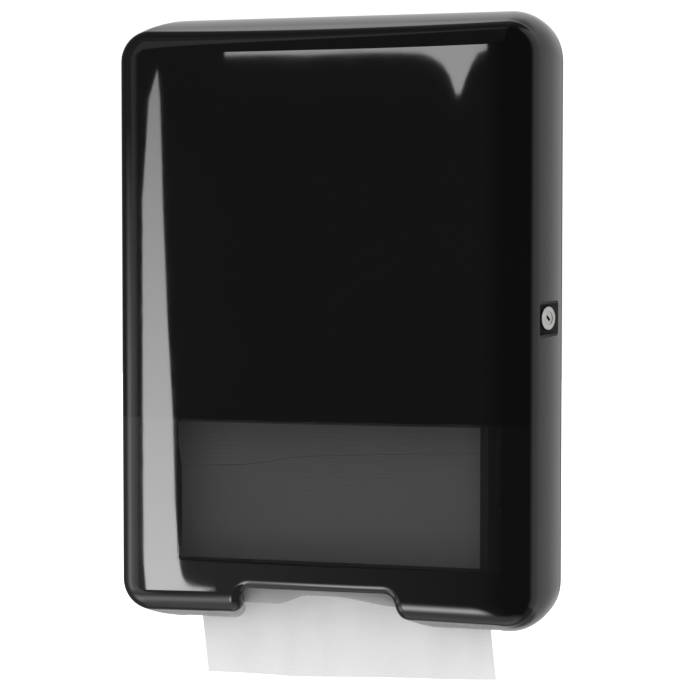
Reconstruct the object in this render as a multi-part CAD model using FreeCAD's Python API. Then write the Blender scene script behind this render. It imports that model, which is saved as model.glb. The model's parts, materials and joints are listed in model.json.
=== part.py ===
# Hand towel dispenser for folded towels, hung on a wall.
# Millimetres. X to the right, Z up, the front faces -Y and the wall is the plane Y = 0.
# The origin is the centre of the wall plate's back face, at mid-height of the cover.
# "Depth" is the distance from the wall, so a point at depth d lies at Y = -d.
import FreeCAD
import Part
import os
from math import atan2, cos, radians, sin, sqrt, tan

V = FreeCAD.Vector
X_AXIS = V(1, 0, 0)
Y_AXIS = V(0, 1, 0)
Z_AXIS = V(0, 0, 1)
FORWARD = V(0, -1, 0)

# Cover: a tall shell, straight at the sides and crowned at the top and bottom
cover_width = 307.0
cover_height = 444.0
cover_depth = 102.0
cover_wall = 2.5
end_taper = 14.0
taper_front_room = 18.0
rear_corner_radius = 35.0
front_corner_radius = 23.0
front_bulge_radius = 1200.0
front_edge_radius = 17.0
cover_rear_gap = 0.6
hinge_side_gap = 3.2

# Window: the smoked lower part of the cover, lapped behind the upper part
window_top_z = -68.0
window_lap_height = 7.0
window_lap_wall = 1.4
lap_clearance = 0.05
window_rivet_half_span = 96.0
window_rivet_count = 4

# Notch in the cover's lower edge and the mouth behind it
notch_half_width = 56.0
notch_top_z = -188.0
notch_foot_z = -207.0
notch_slant = 1.6
notch_foot_spread = 60.0
notch_corner_radius = 7.0
notch_foot_radius = 8.0
notch_lip_length = 9.0
mouth_front_room = 2.0

# Wall plate
plate_thickness = 3.0
plate_left_room = 24.5
plate_rib_height = 9.0
plate_rib_wall = 2.0
plate_rib_gap = 2.0
plate_rib_start = 8.0
lock_zone_height = 52.0
lock_zone_width = 60.0
wall_hole_radius = 2.75
wall_hole_spacing_x = 180.0
wall_hole_spacing_z = 300.0
wall_boss_radius = 9.0
wall_boss_height = 1.5

# Hinge at the left edge
hinge_inset = 11.5
hinge_depth = 16.0
hinge_offset_z = 150.0
hinge_pin_radius = 2.0
hinge_pin_head_radius = 3.4
hinge_pin_head_height = 1.5
hinge_pin_foot = 1.0
hinge_pin_bevel = 0.5
pin_hole_clearance = 0.03
pin_running_clearance = 0.06
knuckle_radius = 5.0
knuckle_height = 9.8
knuckle_gap = 0.3
ear_thickness = 4.0
bracket_edge_gap = 1.0
bracket_leg_width = 6.5
bracket_base_width = 23.0
bracket_base_thickness = 2.0
bracket_screw_inset = 6.0
bracket_screw_spacing = 16.0
strip_thickness = 2.0
strip_height = 370.0
strip_rear_depth = 8.0
strip_front_depth = 40.0
strip_rivet_depth = 31.0
strip_rivet_inset = 13.0
strip_rivet_count = 6

# Towels
stack_side_room = 39.5
stack_corner_radius = 4.0
stack_rear_gap = 2.3
stack_front_gap = 2.0
lower_bundle_height = 73.7
upper_bundle_height = 134.7
bundle_gap = 0.3
bundle_shift = 0.8
towel_narrowing = 9.0
towel_shift = 2.5
towel_depth = 41.0
towel_thickness = 0.9
towel_length = 86.0
towel_wave = 1.6
towel_wave_count = 4

# Stack guides
guide_side_gap = 2.0
guide_wall = 2.2
guide_front_room = 22.0
guide_lip_width = 5.7
guide_lip_wall = 2.0
guide_height = 357.0
guide_tab_width = 13.0
guide_tab_height = 26.0
guide_tab_spacing = 110.0
guide_slot_width = 26.0
guide_slot_height = 70.0
guide_slot_radius = 12.0
guide_slot_pitch = 96.0
guide_slot_count = 3
guide_slot_start = 76.0

# Tray
tray_floor_z = -171.0
tray_wall = 2.0
tray_side_gap = 1.8
tray_gusset_height = 6.0
tray_screw_spacing = 100.0
tray_skirt_height = 19.0
slot_side_gap = 2.0
slot_depth_width = 30.0
slot_corner_radius = 6.0
throat_height = 14.0

# Lip behind the notch
lip_half_width = 72.0
lip_wall = 2.0
lip_height = 28.5
lip_top_gap = 0.5
lip_arch_height = 4.6
lip_arch_left_foot = 30.0
lip_arch_left_crown = 9.0
lip_arch_right_crown = 25.0
lip_arch_right_foot = 58.0
lip_corner_radius = 8.0
lip_screw_x = 60.0
lip_screw_drop = 5.5

# Lock, in a scooped recess in the cover's right side
lock_z = 3.5
recess_rear_depth = 14.0
recess_front_room = 25.0
recess_height = 25.0
recess_corner_radius = 4.5
recess_wall = 1.6
recess_fit = 0.1
recess_inset = 0.25
recess_floor_wall = 2.0
recess_flange_width = 3.0
recess_flange_end = 1.5
recess_flange_wall = 1.5
recess_turn_depth = 44.5
recess_turn_radius = 6.0
lock_tilt = 23.3
lock_from_edge = 12.8
lock_face_radius = 8.6
lock_face_height = 1.4
lock_face_rounding = 0.8
lock_barrel_radius = 6.3
lock_barrel_length = 12.0
lock_nut_radius = 8.2
lock_nut_height = 3.0
lock_hole_clearance = 0.08
plug_radius = 4.9
plug_clearance = 0.05
plug_recess = 0.3
plug_overhang = 0.3
keyway_width = 2.1
keyway_height = 4.8
keyway_depth = 9.0
keyway_tilt = -48.0
tang_width = 4.0
tang_height = 7.0
tang_clearance = 0.05
cam_thickness = 2.0
cam_length = 10.5
cam_end_radius = 4.0
cam_hub_radius = 5.0
cam_screw_radius = 1.5
cam_screw_head_radius = 3.2
cam_screw_head_height = 1.8
cam_screw_length = 5.0
wafer_count = 4
wafer_thickness = 0.5
wafer_pitch = 1.6
wafer_start = 3.0
wafer_width = 7.0
wafer_height = 6.2
wafer_clearance = 0.1

# Strike that the cam turns behind
strike_width = 12.0
strike_inner_margin = 5.5
strike_clearance = 0.9
strike_tip_clearance = 2.7
strike_wall = 2.5
strike_foot_height = 15.0
strike_foot_wall = 2.5

# Screws and rivets
screw_radius = 1.6
screw_clearance = 0.05
screw_head_radius = 3.2
screw_head_height = 1.4
screw_crown_radius = 0.8
screw_bite = 2.0
screw_end_room = 0.3
socket_radius = 1.3
socket_depth = 0.7
rivet_radius = 1.5
rivet_head_radius = 2.8
rivet_head_height = 1.2
rivet_bite = 1.2
rivet_end_room = 0.1
rivet_clearance = 0.02

# Places that follow from the sizes above
FAR = 400.0
half_width = cover_width / 2
half_height = cover_height / 2
inner_x = half_width - cover_wall
cover_rear_depth = plate_thickness + cover_rear_gap
section_count = 7
front_margin = 6.0
taper_depth = cover_depth - taper_front_room
plate_left_x = -half_width + plate_left_room
hinge_x = -half_width + hinge_inset
stack_width = cover_width - 2 * stack_side_room
towel_width = stack_width - towel_narrowing
guide_front_depth = cover_depth - guide_front_room
recess_front_depth = cover_depth - recess_front_room
bracket_leg_left_x = plate_left_x + bracket_edge_gap
bracket_leg_right_x = bracket_leg_left_x + bracket_leg_width
bracket_base_right_x = bracket_leg_left_x + bracket_base_width
bracket_screw_x = bracket_base_right_x - bracket_screw_inset
bracket_seat_depth = plate_thickness + bracket_base_thickness
stack_bottom_z = tray_floor_z + bundle_gap
bundle_joint_z = stack_bottom_z + lower_bundle_height
guide_inner_x = stack_width / 2 + guide_side_gap
guide_outer_x = guide_inner_x + guide_wall
tray_half_width = guide_outer_x + tray_side_gap + tray_wall
stack_rear_depth = bracket_seat_depth + stack_rear_gap
stack_front_depth = guide_front_depth - guide_lip_wall - stack_front_gap
tray_low_z = tray_floor_z - tray_wall
tray_skirt_z = tray_low_z - tray_skirt_height
slot_half_width = towel_width / 2 + towel_shift + slot_side_gap
slot_rear_depth = towel_depth - slot_depth_width / 2
slot_front_depth = towel_depth + slot_depth_width / 2
mouth_half_width = tray_half_width
mouth_depth = slot_front_depth + mouth_front_room
towel_top_z = tray_floor_z
towel_bottom_z = towel_top_z - towel_length
lip_face_depth = guide_front_depth + lip_wall
lip_top_z = tray_low_z - lip_top_gap
lip_bottom_z = lip_top_z - lip_height
lip_screw_z = lip_top_z - lip_screw_drop
lap_rivet_z = window_top_z + window_lap_height / 2
plug_front = lock_face_height - plug_recess
plug_back = -lock_barrel_length - plug_overhang
plug_length = plug_front - plug_back
cam_back = plug_back - cam_thickness


def at(x, depth, z):
    """Point at x, a distance from the wall, and z."""
    return V(x, -depth, z)


def block(x_from, x_to, depth_from, depth_to, z_from, z_to):
    """Box between two depths."""
    size = (x_to - x_from, depth_to - depth_from, z_to - z_from)
    return Part.makeBox(*size, V(x_from, -depth_to, z_from))


def prism(points, direction):
    """Solid of a closed outline of straight edges, pushed along a direction."""
    outline = Part.makePolygon(points + points[:1])
    return Part.Face(outline).extrude(direction)


def rod(radius, length, start, direction):
    """Round bar from a point along a direction."""
    return Part.makeCylinder(radius, length, start, direction)


def rounded_outline(half_x, half_z, radius, depth, centre_x=0.0, centre_z=0.0):
    """Closed wire: an upright rounded rectangle at one depth."""
    edges = []
    inner_half_x = half_x - radius
    inner_half_z = half_z - radius
    corners = [(1, 1, 0), (-1, 1, 90), (-1, -1, 180), (1, -1, 270)]
    ends = []
    for side_x, side_z, start in corners:
        centre = at(centre_x + side_x * inner_half_x, depth, centre_z + side_z * inner_half_z)
        turn = [radians(start + step) for step in (0, 45, 90)]
        arc = [centre + V(radius * cos(a), 0, radius * sin(a)) for a in turn]
        ends.append(arc)
    for index, arc in enumerate(ends):
        edges.append(Part.Arc(*arc).toShape())
        following = ends[(index + 1) % len(ends)]
        edges.append(Part.makeLine(arc[2], following[0]))
    return Part.Wire(edges)


def rounded_block(half_x, half_z, radius, depth_from, depth_to, centre_x=0.0, centre_z=0.0):
    """Solid rounded rectangle between two depths."""
    wire = rounded_outline(half_x, half_z, radius, depth_to, centre_x, centre_z)
    return Part.Face(wire).extrude(V(0, depth_to - depth_from, 0))


def body_half_height(depth):
    """Half the cover's outer height at a depth: the top and bottom walls are crowned."""
    return half_height - end_taper * (depth / taper_depth) ** 2


def body_corner_radius(depth):
    """Outer corner radius of the cover at a depth."""
    return rear_corner_radius + (front_corner_radius - rear_corner_radius) * depth / taper_depth


def body_section(depth, offset):
    """Outline of the cover at a depth, moved inwards by an offset."""
    radius = body_corner_radius(depth) - offset
    return rounded_outline(half_width - offset, body_half_height(depth) - offset, radius, depth)


def body_form(offset, depth_from):
    """The cover's full form, moved inwards by an offset, from a depth to its front."""
    depth_to = cover_depth + front_margin
    step = (depth_to - depth_from) / (section_count - 1)
    sections = [body_section(depth_from + step * k, offset) for k in range(section_count)]
    sides = Part.makeLoft(sections, True, False)
    bulge_centre = at(0, cover_depth - front_bulge_radius, -FAR)
    bulge = rod(front_bulge_radius - offset, 2 * FAR, bulge_centre, Z_AXIS)
    form = sides.common(bulge)
    front = max(form.Faces, key=lambda face: -face.CenterOfMass.y)
    return form.makeFillet(front_edge_radius - offset, front.Edges)


def cover_skin():
    """The whole cover as one thin shell, open at the wall."""
    skin = body_form(0.0, cover_rear_depth).cut(body_form(cover_wall, 0.0))
    hinge_rear = plate_thickness + hinge_side_gap
    skin = skin.cut(block(-FAR, -inner_x, 0, hinge_rear, -FAR, FAR))
    mouth = block(-mouth_half_width, mouth_half_width, -1, mouth_depth, -FAR, notch_top_z)
    return skin.cut(mouth)


def flat(x, z):
    """Point or direction in the cover's front view."""
    return V(x, 0, z)


def grown_corner(corner, normal_a, normal_b, offset):
    """Corner between two lines after both move outwards by an offset."""
    return corner + (normal_a + normal_b) * (offset / (1 + normal_a.dot(normal_b)))


def notch_corners(offset):
    """Right half of the notch's outline: top corner, foot and a point below the cover."""
    side = flat(notch_slant, notch_foot_z - notch_top_z)
    side.normalize()
    spread = radians(notch_foot_spread)
    flare = flat(sin(spread), -cos(spread))
    top_normal = flat(0, 1)
    side_normal = flat(-side.z, side.x)
    flare_normal = flat(-flare.z, flare.x)
    top = flat(notch_half_width, notch_top_z)
    foot = flat(notch_half_width + notch_slant, notch_foot_z)
    reach = half_height + notch_foot_z + front_margin
    end = foot + flare * (reach / cos(spread)) + flare_normal * offset
    return [grown_corner(top, top_normal, side_normal, offset), grown_corner(foot, side_normal, flare_normal, offset), end]


def notch_prism(offset, depth_from, depth_to):
    """Solid of the notch between two depths, grown outwards by an offset."""
    right = notch_corners(offset)
    left = [flat(-p.x, p.z) for p in reversed(right)]
    points = [at(p.x, depth_to, p.z) for p in left + right]
    form = prism(points, V(0, depth_to - depth_from, 0))
    form = form.makeFillet(notch_corner_radius + offset, edges_at(form, right[0]))
    return form.makeFillet(notch_foot_radius - offset, edges_at(form, right[1]))


def edges_at(form, corner):
    """Edges away from the wall at a corner of the front view and at its mirror image."""
    along = [e for e in form.Edges if is_along_y(e)]
    return [e for e in along if abs(e.CenterOfMass.z - corner.z) < 0.01 and abs(abs(e.CenterOfMass.x) - corner.x) < 0.01]


def is_along_y(edge):
    """True for a straight edge that runs away from the wall."""
    start = edge.Vertexes[0].Point
    end = edge.Vertexes[-1].Point
    return abs(start.x - end.x) < 1e-6 and abs(start.z - end.z) < 1e-6


def notch_lip(form):
    """The wall that turns inwards along the notch's edge."""
    front_limit = cover_depth + front_margin
    rear = cover_depth - notch_lip_length
    ring = notch_prism(cover_wall, rear, front_limit).cut(notch_prism(0.0, rear, front_limit))
    return ring.common(form)


def recess_opening():
    """Solid that cuts the lock recess through the cover's right wall."""
    depth_half = (recess_front_depth - recess_rear_depth) / 2
    depth_mid = (recess_front_depth + recess_rear_depth) / 2
    return side_block(depth_half, recess_height / 2, recess_corner_radius, inner_x - 1, half_width + 1, depth_mid)


def side_block(half_depth, half_z, radius, x_from, x_to, depth_mid):
    """Rounded block lying on its side, its outline seen along X and centred on the lock's height."""
    form = rounded_block(half_depth, half_z, radius, 0, x_to - x_from)
    form.rotate(V(0, 0, 0), Z_AXIS, 90)
    form.translate(V(x_from, -depth_mid, lock_z))
    return form


def window_lap():
    """Thinner wall on the window's upper edge, which stands behind the upper cover."""
    outer_clear = cover_wall + lap_clearance
    inner = cover_wall + window_lap_wall
    top = window_top_z + window_lap_height
    ring = body_form(outer_clear, cover_rear_depth).cut(body_form(inner, 0.0))
    ring = ring.common(block(-FAR, FAR, 0, FAR, window_top_z - window_lap_height, top))
    root = body_form(cover_wall - lap_clearance, cover_rear_depth).cut(body_form(inner, 0.0))
    root = root.common(block(-FAR, FAR, 0, FAR, window_top_z - window_lap_height, window_top_z))
    lap = ring.fuse(root)
    strip_zone = block(-FAR, 0, 0, strip_front_depth + 1, -FAR, FAR)
    return lap.cut(strip_zone)


def make_cover():
    """Upper cover and window panel."""
    skin = cover_skin()
    form = body_form(0.0, cover_rear_depth)
    upper = skin.common(block(-FAR, FAR, 0, FAR, window_top_z, FAR)).cut(recess_opening())
    lower = skin.common(block(-FAR, FAR, 0, FAR, -FAR, window_top_z))
    lower = lower.cut(notch_prism(0.0, mouth_depth - 1, FAR)).fuse(notch_lip(form))
    lower = lower.fuse(window_lap()).removeSplitter()
    for x in front_rivet_places():
        depth = front_inner_depth(x)
        hole = rod(rivet_radius, rivet_bite + FAR, at(x, depth + rivet_bite, lap_rivet_z), Y_AXIS)
        upper = upper.cut(hole)
        lower = lower.cut(hole)
    for z in strip_rivet_places():
        hole = rod(rivet_radius, rivet_bite, at(-inner_x, strip_rivet_depth, z), V(-1, 0, 0))
        upper = upper.cut(hole)
        lower = lower.cut(hole)
    return {"cover_shell": upper, "window_panel": lower}


def spread_evenly(half_span, count):
    """Evenly spaced places from one end of a span to the other."""
    return [half_span * (2 * k / (count - 1) - 1) for k in range(count)]


def front_rivet_places():
    """X of the rivets that join the window's lap to the upper cover."""
    return spread_evenly(window_rivet_half_span, window_rivet_count)


def front_inner_depth(x):
    """Depth of the front wall's inner face at x."""
    radius = front_bulge_radius - cover_wall
    return cover_depth - front_bulge_radius + sqrt(radius ** 2 - x ** 2)


def strip_rivet_places():
    """Z of the rivets along the hinge strip."""
    return spread_evenly(strip_height / 2 - strip_rivet_inset, strip_rivet_count)


def make_window_rivets():
    """Rivets through the window's lap into the upper cover."""
    rivets = []
    for x in front_rivet_places():
        inner = front_inner_depth(x)
        lap_face = inner - window_lap_wall
        slope = atan2(x, front_bulge_radius)
        seat = lap_face - rivet_head_radius * abs(tan(slope)) - 2 * lap_clearance
        length = inner + rivet_bite - rivet_end_room - seat
        shaft = rod(rivet_radius - rivet_clearance, length, at(x, seat, lap_rivet_z), FORWARD)
        head = rod(rivet_head_radius, rivet_head_height, at(x, seat, lap_rivet_z), Y_AXIS)
        rivets.append(shaft.fuse(head))
    return Part.makeCompound(rivets)


def make_wall_plate():
    """Plate on the wall, with a rib round its edge and bosses at its wall holes."""
    plate = Part.Face(body_section(0.0, 0.0)).extrude(V(0, -plate_thickness, 0))
    rib_offset = cover_wall + plate_rib_gap
    rib_top = plate_thickness + plate_rib_height
    outer = Part.Face(body_section(0.0, rib_offset)).extrude(V(0, -rib_top, 0))
    inner = Part.Face(body_section(0.0, rib_offset + plate_rib_wall)).extrude(V(0, -rib_top, 0))
    rib = outer.cut(inner)
    zone_half = lock_zone_height / 2
    rib = rib.cut(block(half_width - lock_zone_width, FAR, 0, FAR, lock_z - zone_half, lock_z + zone_half))
    rib = rib.cut(block(-FAR, plate_left_x + plate_rib_start, 0, FAR, -FAR, FAR))
    plate = plate.cut(block(-FAR, plate_left_x, -1, FAR, -FAR, FAR)).fuse(rib)
    for x, z in wall_hole_places():
        plate = plate.fuse(rod(wall_boss_radius, plate_thickness + wall_boss_height, at(x, 0, z), FORWARD))
    for x, z in wall_hole_places():
        plate = plate.cut(rod(wall_hole_radius, FAR, at(x, -1, z), FORWARD))
    for x, seat, z in plate_screw_places():
        plate = plate.cut(screw_hole(x, plate_thickness, z, screw_bite + screw_end_room))
    return plate.removeSplitter()


def wall_hole_places():
    """X and Z of the four holes for the wall screws."""
    half_x = wall_hole_spacing_x / 2
    half_z = wall_hole_spacing_z / 2
    return [(side_x * half_x, side_z * half_z) for side_x in (-1, 1) for side_z in (-1, 1)]


def screw_hole(x, depth, z, length=FAR):
    """Hole for a screw that enters at a depth and runs towards the wall."""
    return rod(screw_radius + screw_clearance, length, at(x, depth, z), Y_AXIS)


def make_screw(x, seat_depth, z, grip):
    """Pan-head screw whose head lies on a face at a depth, with a shank towards the wall."""
    seat = at(x, seat_depth, z)
    shank = rod(screw_radius, grip, seat, Y_AXIS)
    head = rod(screw_head_radius, screw_head_height, seat, FORWARD)
    crown = [e for e in head.Edges if abs(seat.y - e.CenterOfMass.y - screw_head_height) < 1e-6]
    head = head.makeFillet(screw_crown_radius, crown)
    socket = rod(socket_radius, FAR, at(x, seat_depth + screw_head_height - socket_depth, z), FORWARD)
    return shank.fuse(head).cut(socket)


def bracket_screw_places():
    """Screws of the hinge brackets: X, seat depth and Z."""
    half = bracket_screw_spacing / 2
    middles = (-hinge_offset_z, hinge_offset_z)
    return [(bracket_screw_x, bracket_seat_depth, z + s * half) for z in middles for s in (-1, 1)]


def guide_tab_places():
    """Z of the tabs that hold a stack guide."""
    return [-guide_tab_spacing, 0.0, guide_tab_spacing]


def guide_screw_places():
    """Screws of the stack guides: X, seat depth and Z."""
    x = guide_inner_x - guide_tab_width / 2
    seat = plate_thickness + guide_wall
    return [(side * x, seat, z) for side in (-1, 1) for z in guide_tab_places()]


def tray_screw_places():
    """Screws of the tray's rear skirt: X, seat depth and Z."""
    seat = plate_thickness + tray_wall
    z = tray_low_z - tray_skirt_height / 2
    return [(x, seat, z) for x in (-tray_screw_spacing, 0.0, tray_screw_spacing)]


def strike_screw_places():
    """Screws of the strike: X, seat depth and Z."""
    x = lock_point(cam_back).x - strike_inner_margin + strike_width / 2
    seat = plate_thickness + strike_foot_wall
    z = lock_z + cam_length + strike_tip_clearance + strike_wall + strike_foot_height / 2
    return [(x, seat, z)]


def plate_screw_places():
    """All screws that enter the wall plate."""
    return bracket_screw_places() + guide_screw_places() + tray_screw_places() + strike_screw_places()


def make_screws(places):
    """Group of equal screws."""
    return Part.makeCompound([make_screw(x, seat, z, seat - plate_thickness + screw_bite) for x, seat, z in places])


def make_hinge_bracket(z_mid):
    """Bracket on the wall plate with two ears that carry the hinge pin."""
    ear_from = knuckle_height / 2 + knuckle_gap
    ear_to = ear_from + ear_thickness
    ear_rear = hinge_depth - knuckle_radius
    ear_front = hinge_depth + knuckle_radius
    bracket = block(bracket_leg_left_x, bracket_leg_right_x, plate_thickness, ear_front, z_mid - ear_to, z_mid + ear_to)
    base_half = bracket_screw_spacing / 2 + bracket_screw_inset
    base_low = z_mid - base_half
    base_high = z_mid + base_half
    base = block(bracket_leg_left_x, bracket_base_right_x, plate_thickness, bracket_seat_depth, base_low, base_high)
    bracket = bracket.fuse(base)
    for side in (-1, 1):
        low = z_mid + (ear_from if side > 0 else -ear_to)
        ear = block(hinge_x, bracket_leg_right_x, ear_rear, ear_front, low, low + ear_thickness)
        ear = ear.fuse(rod(knuckle_radius, ear_thickness, at(hinge_x, hinge_depth, low), Z_AXIS))
        bracket = bracket.fuse(ear)
    hole_radius = hinge_pin_radius + pin_hole_clearance
    bracket = bracket.cut(rod(hole_radius, 2 * FAR, at(hinge_x, hinge_depth, -FAR), Z_AXIS))
    for x, seat, z in bracket_screw_places():
        bracket = bracket.cut(screw_hole(x, seat + 1, z))
    return bracket.removeSplitter()


def make_hinge_pin(z_mid):
    """Headed pin, dropped through both ears and the knuckle from above."""
    ear_to = knuckle_height / 2 + knuckle_gap + ear_thickness
    foot = at(hinge_x, hinge_depth, z_mid - ear_to - hinge_pin_foot)
    pin = rod(hinge_pin_radius, 2 * ear_to + hinge_pin_foot, foot, Z_AXIS)
    head_seat = at(hinge_x, hinge_depth, z_mid + ear_to)
    head = rod(hinge_pin_head_radius, hinge_pin_head_height, head_seat, Z_AXIS)
    return chamfer_end(pin.fuse(head), foot, hinge_pin_bevel)


def chamfer_end(solid, point, size):
    """Bevel the round edge whose centre is a point."""
    edges = [e for e in solid.Edges if len(e.Vertexes) == 1 and (e.CenterOfMass - point).Length < 1e-3]
    return solid.makeChamfer(size, edges)


def make_hinge_strip():
    """Strip inside the cover's left wall that carries the two knuckles."""
    inner = -inner_x + strip_thickness
    strip = block(-inner_x, inner, strip_rear_depth, strip_front_depth, -strip_height / 2, strip_height / 2)
    for z_mid in (-hinge_offset_z, hinge_offset_z):
        low = z_mid - knuckle_height / 2
        arm_rear = hinge_depth - knuckle_radius
        arm_front = hinge_depth + knuckle_radius
        arm = block(inner, hinge_x, arm_rear, arm_front, low, low + knuckle_height)
        knuckle = rod(knuckle_radius, knuckle_height, at(hinge_x, hinge_depth, low), Z_AXIS)
        bore_radius = hinge_pin_radius + pin_running_clearance
        bore = rod(bore_radius, knuckle_height + 2, at(hinge_x, hinge_depth, low - 1), Z_AXIS)
        strip = strip.fuse(arm).fuse(knuckle).cut(bore)
    for z in strip_rivet_places():
        strip = strip.cut(rod(rivet_radius, strip_thickness + 2, at(-inner_x - 1, strip_rivet_depth, z), X_AXIS))
    return strip.removeSplitter()


def make_strip_rivets():
    """Rivets that hold the hinge strip to the cover's left wall."""
    rivets = []
    seat_x = -inner_x + strip_thickness
    for z in strip_rivet_places():
        grip = rivet_bite - rivet_end_room
        shaft_start = at(-inner_x - grip, strip_rivet_depth, z)
        shaft = rod(rivet_radius - rivet_clearance, strip_thickness + grip, shaft_start, X_AXIS)
        head = rod(rivet_head_radius, rivet_head_height, at(seat_x, strip_rivet_depth, z), X_AXIS)
        rivets.append(shaft.fuse(head))
    return Part.makeCompound(rivets)


def make_stack_guide(side):
    """Upright wall beside the stack, with tabs on the wall plate and a lip at its front."""
    inner = guide_inner_x
    outer = guide_outer_x
    rear = bracket_seat_depth + bundle_gap
    top = tray_floor_z + guide_height
    guide = block(inner, outer, rear, guide_front_depth, tray_floor_z, top)
    lip_rear = guide_front_depth - guide_lip_wall
    guide = guide.fuse(block(outer - guide_lip_width, outer, lip_rear, guide_front_depth, tray_floor_z, top))
    for z in guide_tab_places():
        half = guide_tab_height / 2
        tab = block(inner - guide_tab_width, outer, plate_thickness, plate_thickness + guide_wall, z - half, z + half)
        neck = block(inner, outer, plate_thickness, rear + 1, z - half, z + half)
        guide = guide.fuse(tab).fuse(neck)
    slot_mid = (rear + guide_front_depth) / 2
    for k in range(guide_slot_count):
        guide = guide.cut(guide_slot(slot_mid, tray_floor_z + guide_slot_start + guide_slot_pitch * k))
    for x, seat, z in guide_screw_places():
        guide = guide.cut(screw_hole(x, seat + 1, z))
    guide = guide.removeSplitter()
    if side < 0:
        guide = guide.mirror(V(0, 0, 0), X_AXIS)
    return guide


def guide_slot(depth, z):
    """Long hole through a guide's wall."""
    form = rounded_block(guide_slot_width / 2, guide_slot_height / 2, guide_slot_radius, 0, guide_wall + 2)
    form.rotate(V(0, 0, 0), Z_AXIS, 90)
    form.translate(V(guide_inner_x - 1, -depth, z))
    return form


def make_tray():
    """Shelf under the stack with the slot that towels are pulled through."""
    low = tray_low_z
    front_depth = guide_front_depth
    floor = block(-tray_half_width, tray_half_width, plate_thickness, front_depth, low, tray_floor_z)
    skirt_depth = plate_thickness + tray_wall
    skirt = block(-tray_half_width, tray_half_width, plate_thickness, skirt_depth, tray_skirt_z, low)
    front = block(-tray_half_width, tray_half_width, front_depth - tray_wall, front_depth, tray_skirt_z, low)
    tray = floor.fuse(skirt).fuse(front)
    gusset_top = tray_floor_z + tray_gusset_height
    for side in (-1, 1):
        left = side * (tray_half_width - tray_wall / 2) - tray_wall / 2
        gusset = block(left, left + tray_wall, plate_thickness, front_depth, tray_skirt_z, gusset_top)
        tray = tray.fuse(gusset)
    tray = tray.fuse(slot_block(tray_wall, low - throat_height, low))
    tray = tray.cut(slot_block(0.0, low - throat_height - 1, tray_floor_z + 1))
    for x, seat, z in tray_screw_places():
        tray = tray.cut(screw_hole(x, seat + 1, z))
    for x in (-lip_screw_x, lip_screw_x):
        tray = tray.cut(screw_hole(x, front_depth + 1, lip_screw_z, tray_wall + 2))
    return tray.removeSplitter()


def slot_block(offset, z_from, z_to):
    """Upright block with the towel slot's rounded outline, grown by an offset."""
    half_depth = (slot_front_depth - slot_rear_depth) / 2 + offset
    mid = (slot_front_depth + slot_rear_depth) / 2
    form = block(-slot_half_width - offset, slot_half_width + offset, mid - half_depth, mid + half_depth, z_from, z_to)
    upright = [e for e in form.Edges if is_along_z(e)]
    return form.makeFillet(slot_corner_radius + offset, upright)


def is_along_z(edge):
    """True for a straight upright edge."""
    start = edge.Vertexes[0].Point
    end = edge.Vertexes[-1].Point
    return abs(start.x - end.x) < 1e-6 and abs(start.y - end.y) < 1e-6


def make_dispensing_lip():
    """Plate on the tray's front, arched at its lower edge, seen through the notch."""
    face_depth = lip_face_depth
    rise = lip_bottom_z + lip_arch_height
    left_foot = at(-lip_arch_left_foot, face_depth, lip_bottom_z)
    left_top = at(-lip_arch_left_crown, face_depth, rise)
    right_top = at(lip_arch_right_crown, face_depth, rise)
    right_foot = at(lip_arch_right_foot, face_depth, lip_bottom_z)
    corners = [at(-lip_half_width, face_depth, lip_bottom_z), at(-lip_half_width, face_depth, lip_top_z)]
    corners += [at(lip_half_width, face_depth, lip_top_z), at(lip_half_width, face_depth, lip_bottom_z)]
    arch = Part.BSplineCurve()
    arch.interpolate([left_foot, left_top, right_top, right_foot], InitialTangent=X_AXIS, FinalTangent=X_AXIS)
    edges = [Part.makeLine(left_foot, corners[0]), Part.makeLine(corners[0], corners[1])]
    edges += [Part.makeLine(corners[1], corners[2]), Part.makeLine(corners[2], corners[3])]
    edges += [Part.makeLine(corners[3], right_foot), arch.toShape()]
    wire = Part.Wire(Part.__sortEdges__(edges))
    lip = Part.Face(wire).extrude(V(0, lip_wall, 0))
    feet = [e for e in lip.Edges if is_along_y(e) and abs(abs(e.CenterOfMass.x) - lip_half_width) < 1e-3]
    feet = [e for e in feet if e.CenterOfMass.z < lip_bottom_z + 1]
    lip = lip.makeFillet(lip_corner_radius, feet)
    for x in (-lip_screw_x, lip_screw_x):
        lip = lip.cut(screw_hole(x, face_depth + 1, lip_screw_z))
    return lip


def make_lip_screws():
    """Screws that hold the lip to the tray's front."""
    grip = lip_wall + tray_wall + screw_bite
    places = (-lip_screw_x, lip_screw_x)
    return Part.makeCompound([make_screw(x, lip_face_depth, lip_screw_z, grip) for x in places])


def make_bundle(z_from, z_to, shift):
    """One bundle of folded towels."""
    half = stack_width / 2
    form = block(shift - half, shift + half, stack_rear_depth, stack_front_depth, z_from, z_to)
    upright = [e for e in form.Edges if is_along_z(e)]
    return form.makeFillet(stack_corner_radius, upright)


def make_leading_towel():
    """Towel that hangs out of the slot, in shallow waves across its width."""
    left = towel_shift - towel_width / 2
    pitch = towel_width / towel_wave_count
    front = []
    rear = []
    for k in range(towel_wave_count):
        start = left + pitch * k
        swing = towel_wave if k % 2 == 0 else -towel_wave
        front.append(wave_arc(start, pitch, towel_depth + towel_thickness / 2, swing))
        rear.append(wave_arc(start, pitch, towel_depth - towel_thickness / 2, swing))
    right = left + towel_width
    ends = [end_line(left), end_line(right)]
    wire = Part.Wire(Part.__sortEdges__(front + rear + ends))
    return Part.Face(wire).extrude(V(0, 0, towel_top_z - towel_bottom_z))


def wave_arc(start, pitch, depth, swing):
    """One shallow wave at the towel's lower edge."""
    points = [at(start, depth, towel_bottom_z), at(start + pitch / 2, depth + swing, towel_bottom_z)]
    points.append(at(start + pitch, depth, towel_bottom_z))
    return Part.Arc(*points).toShape()


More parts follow.
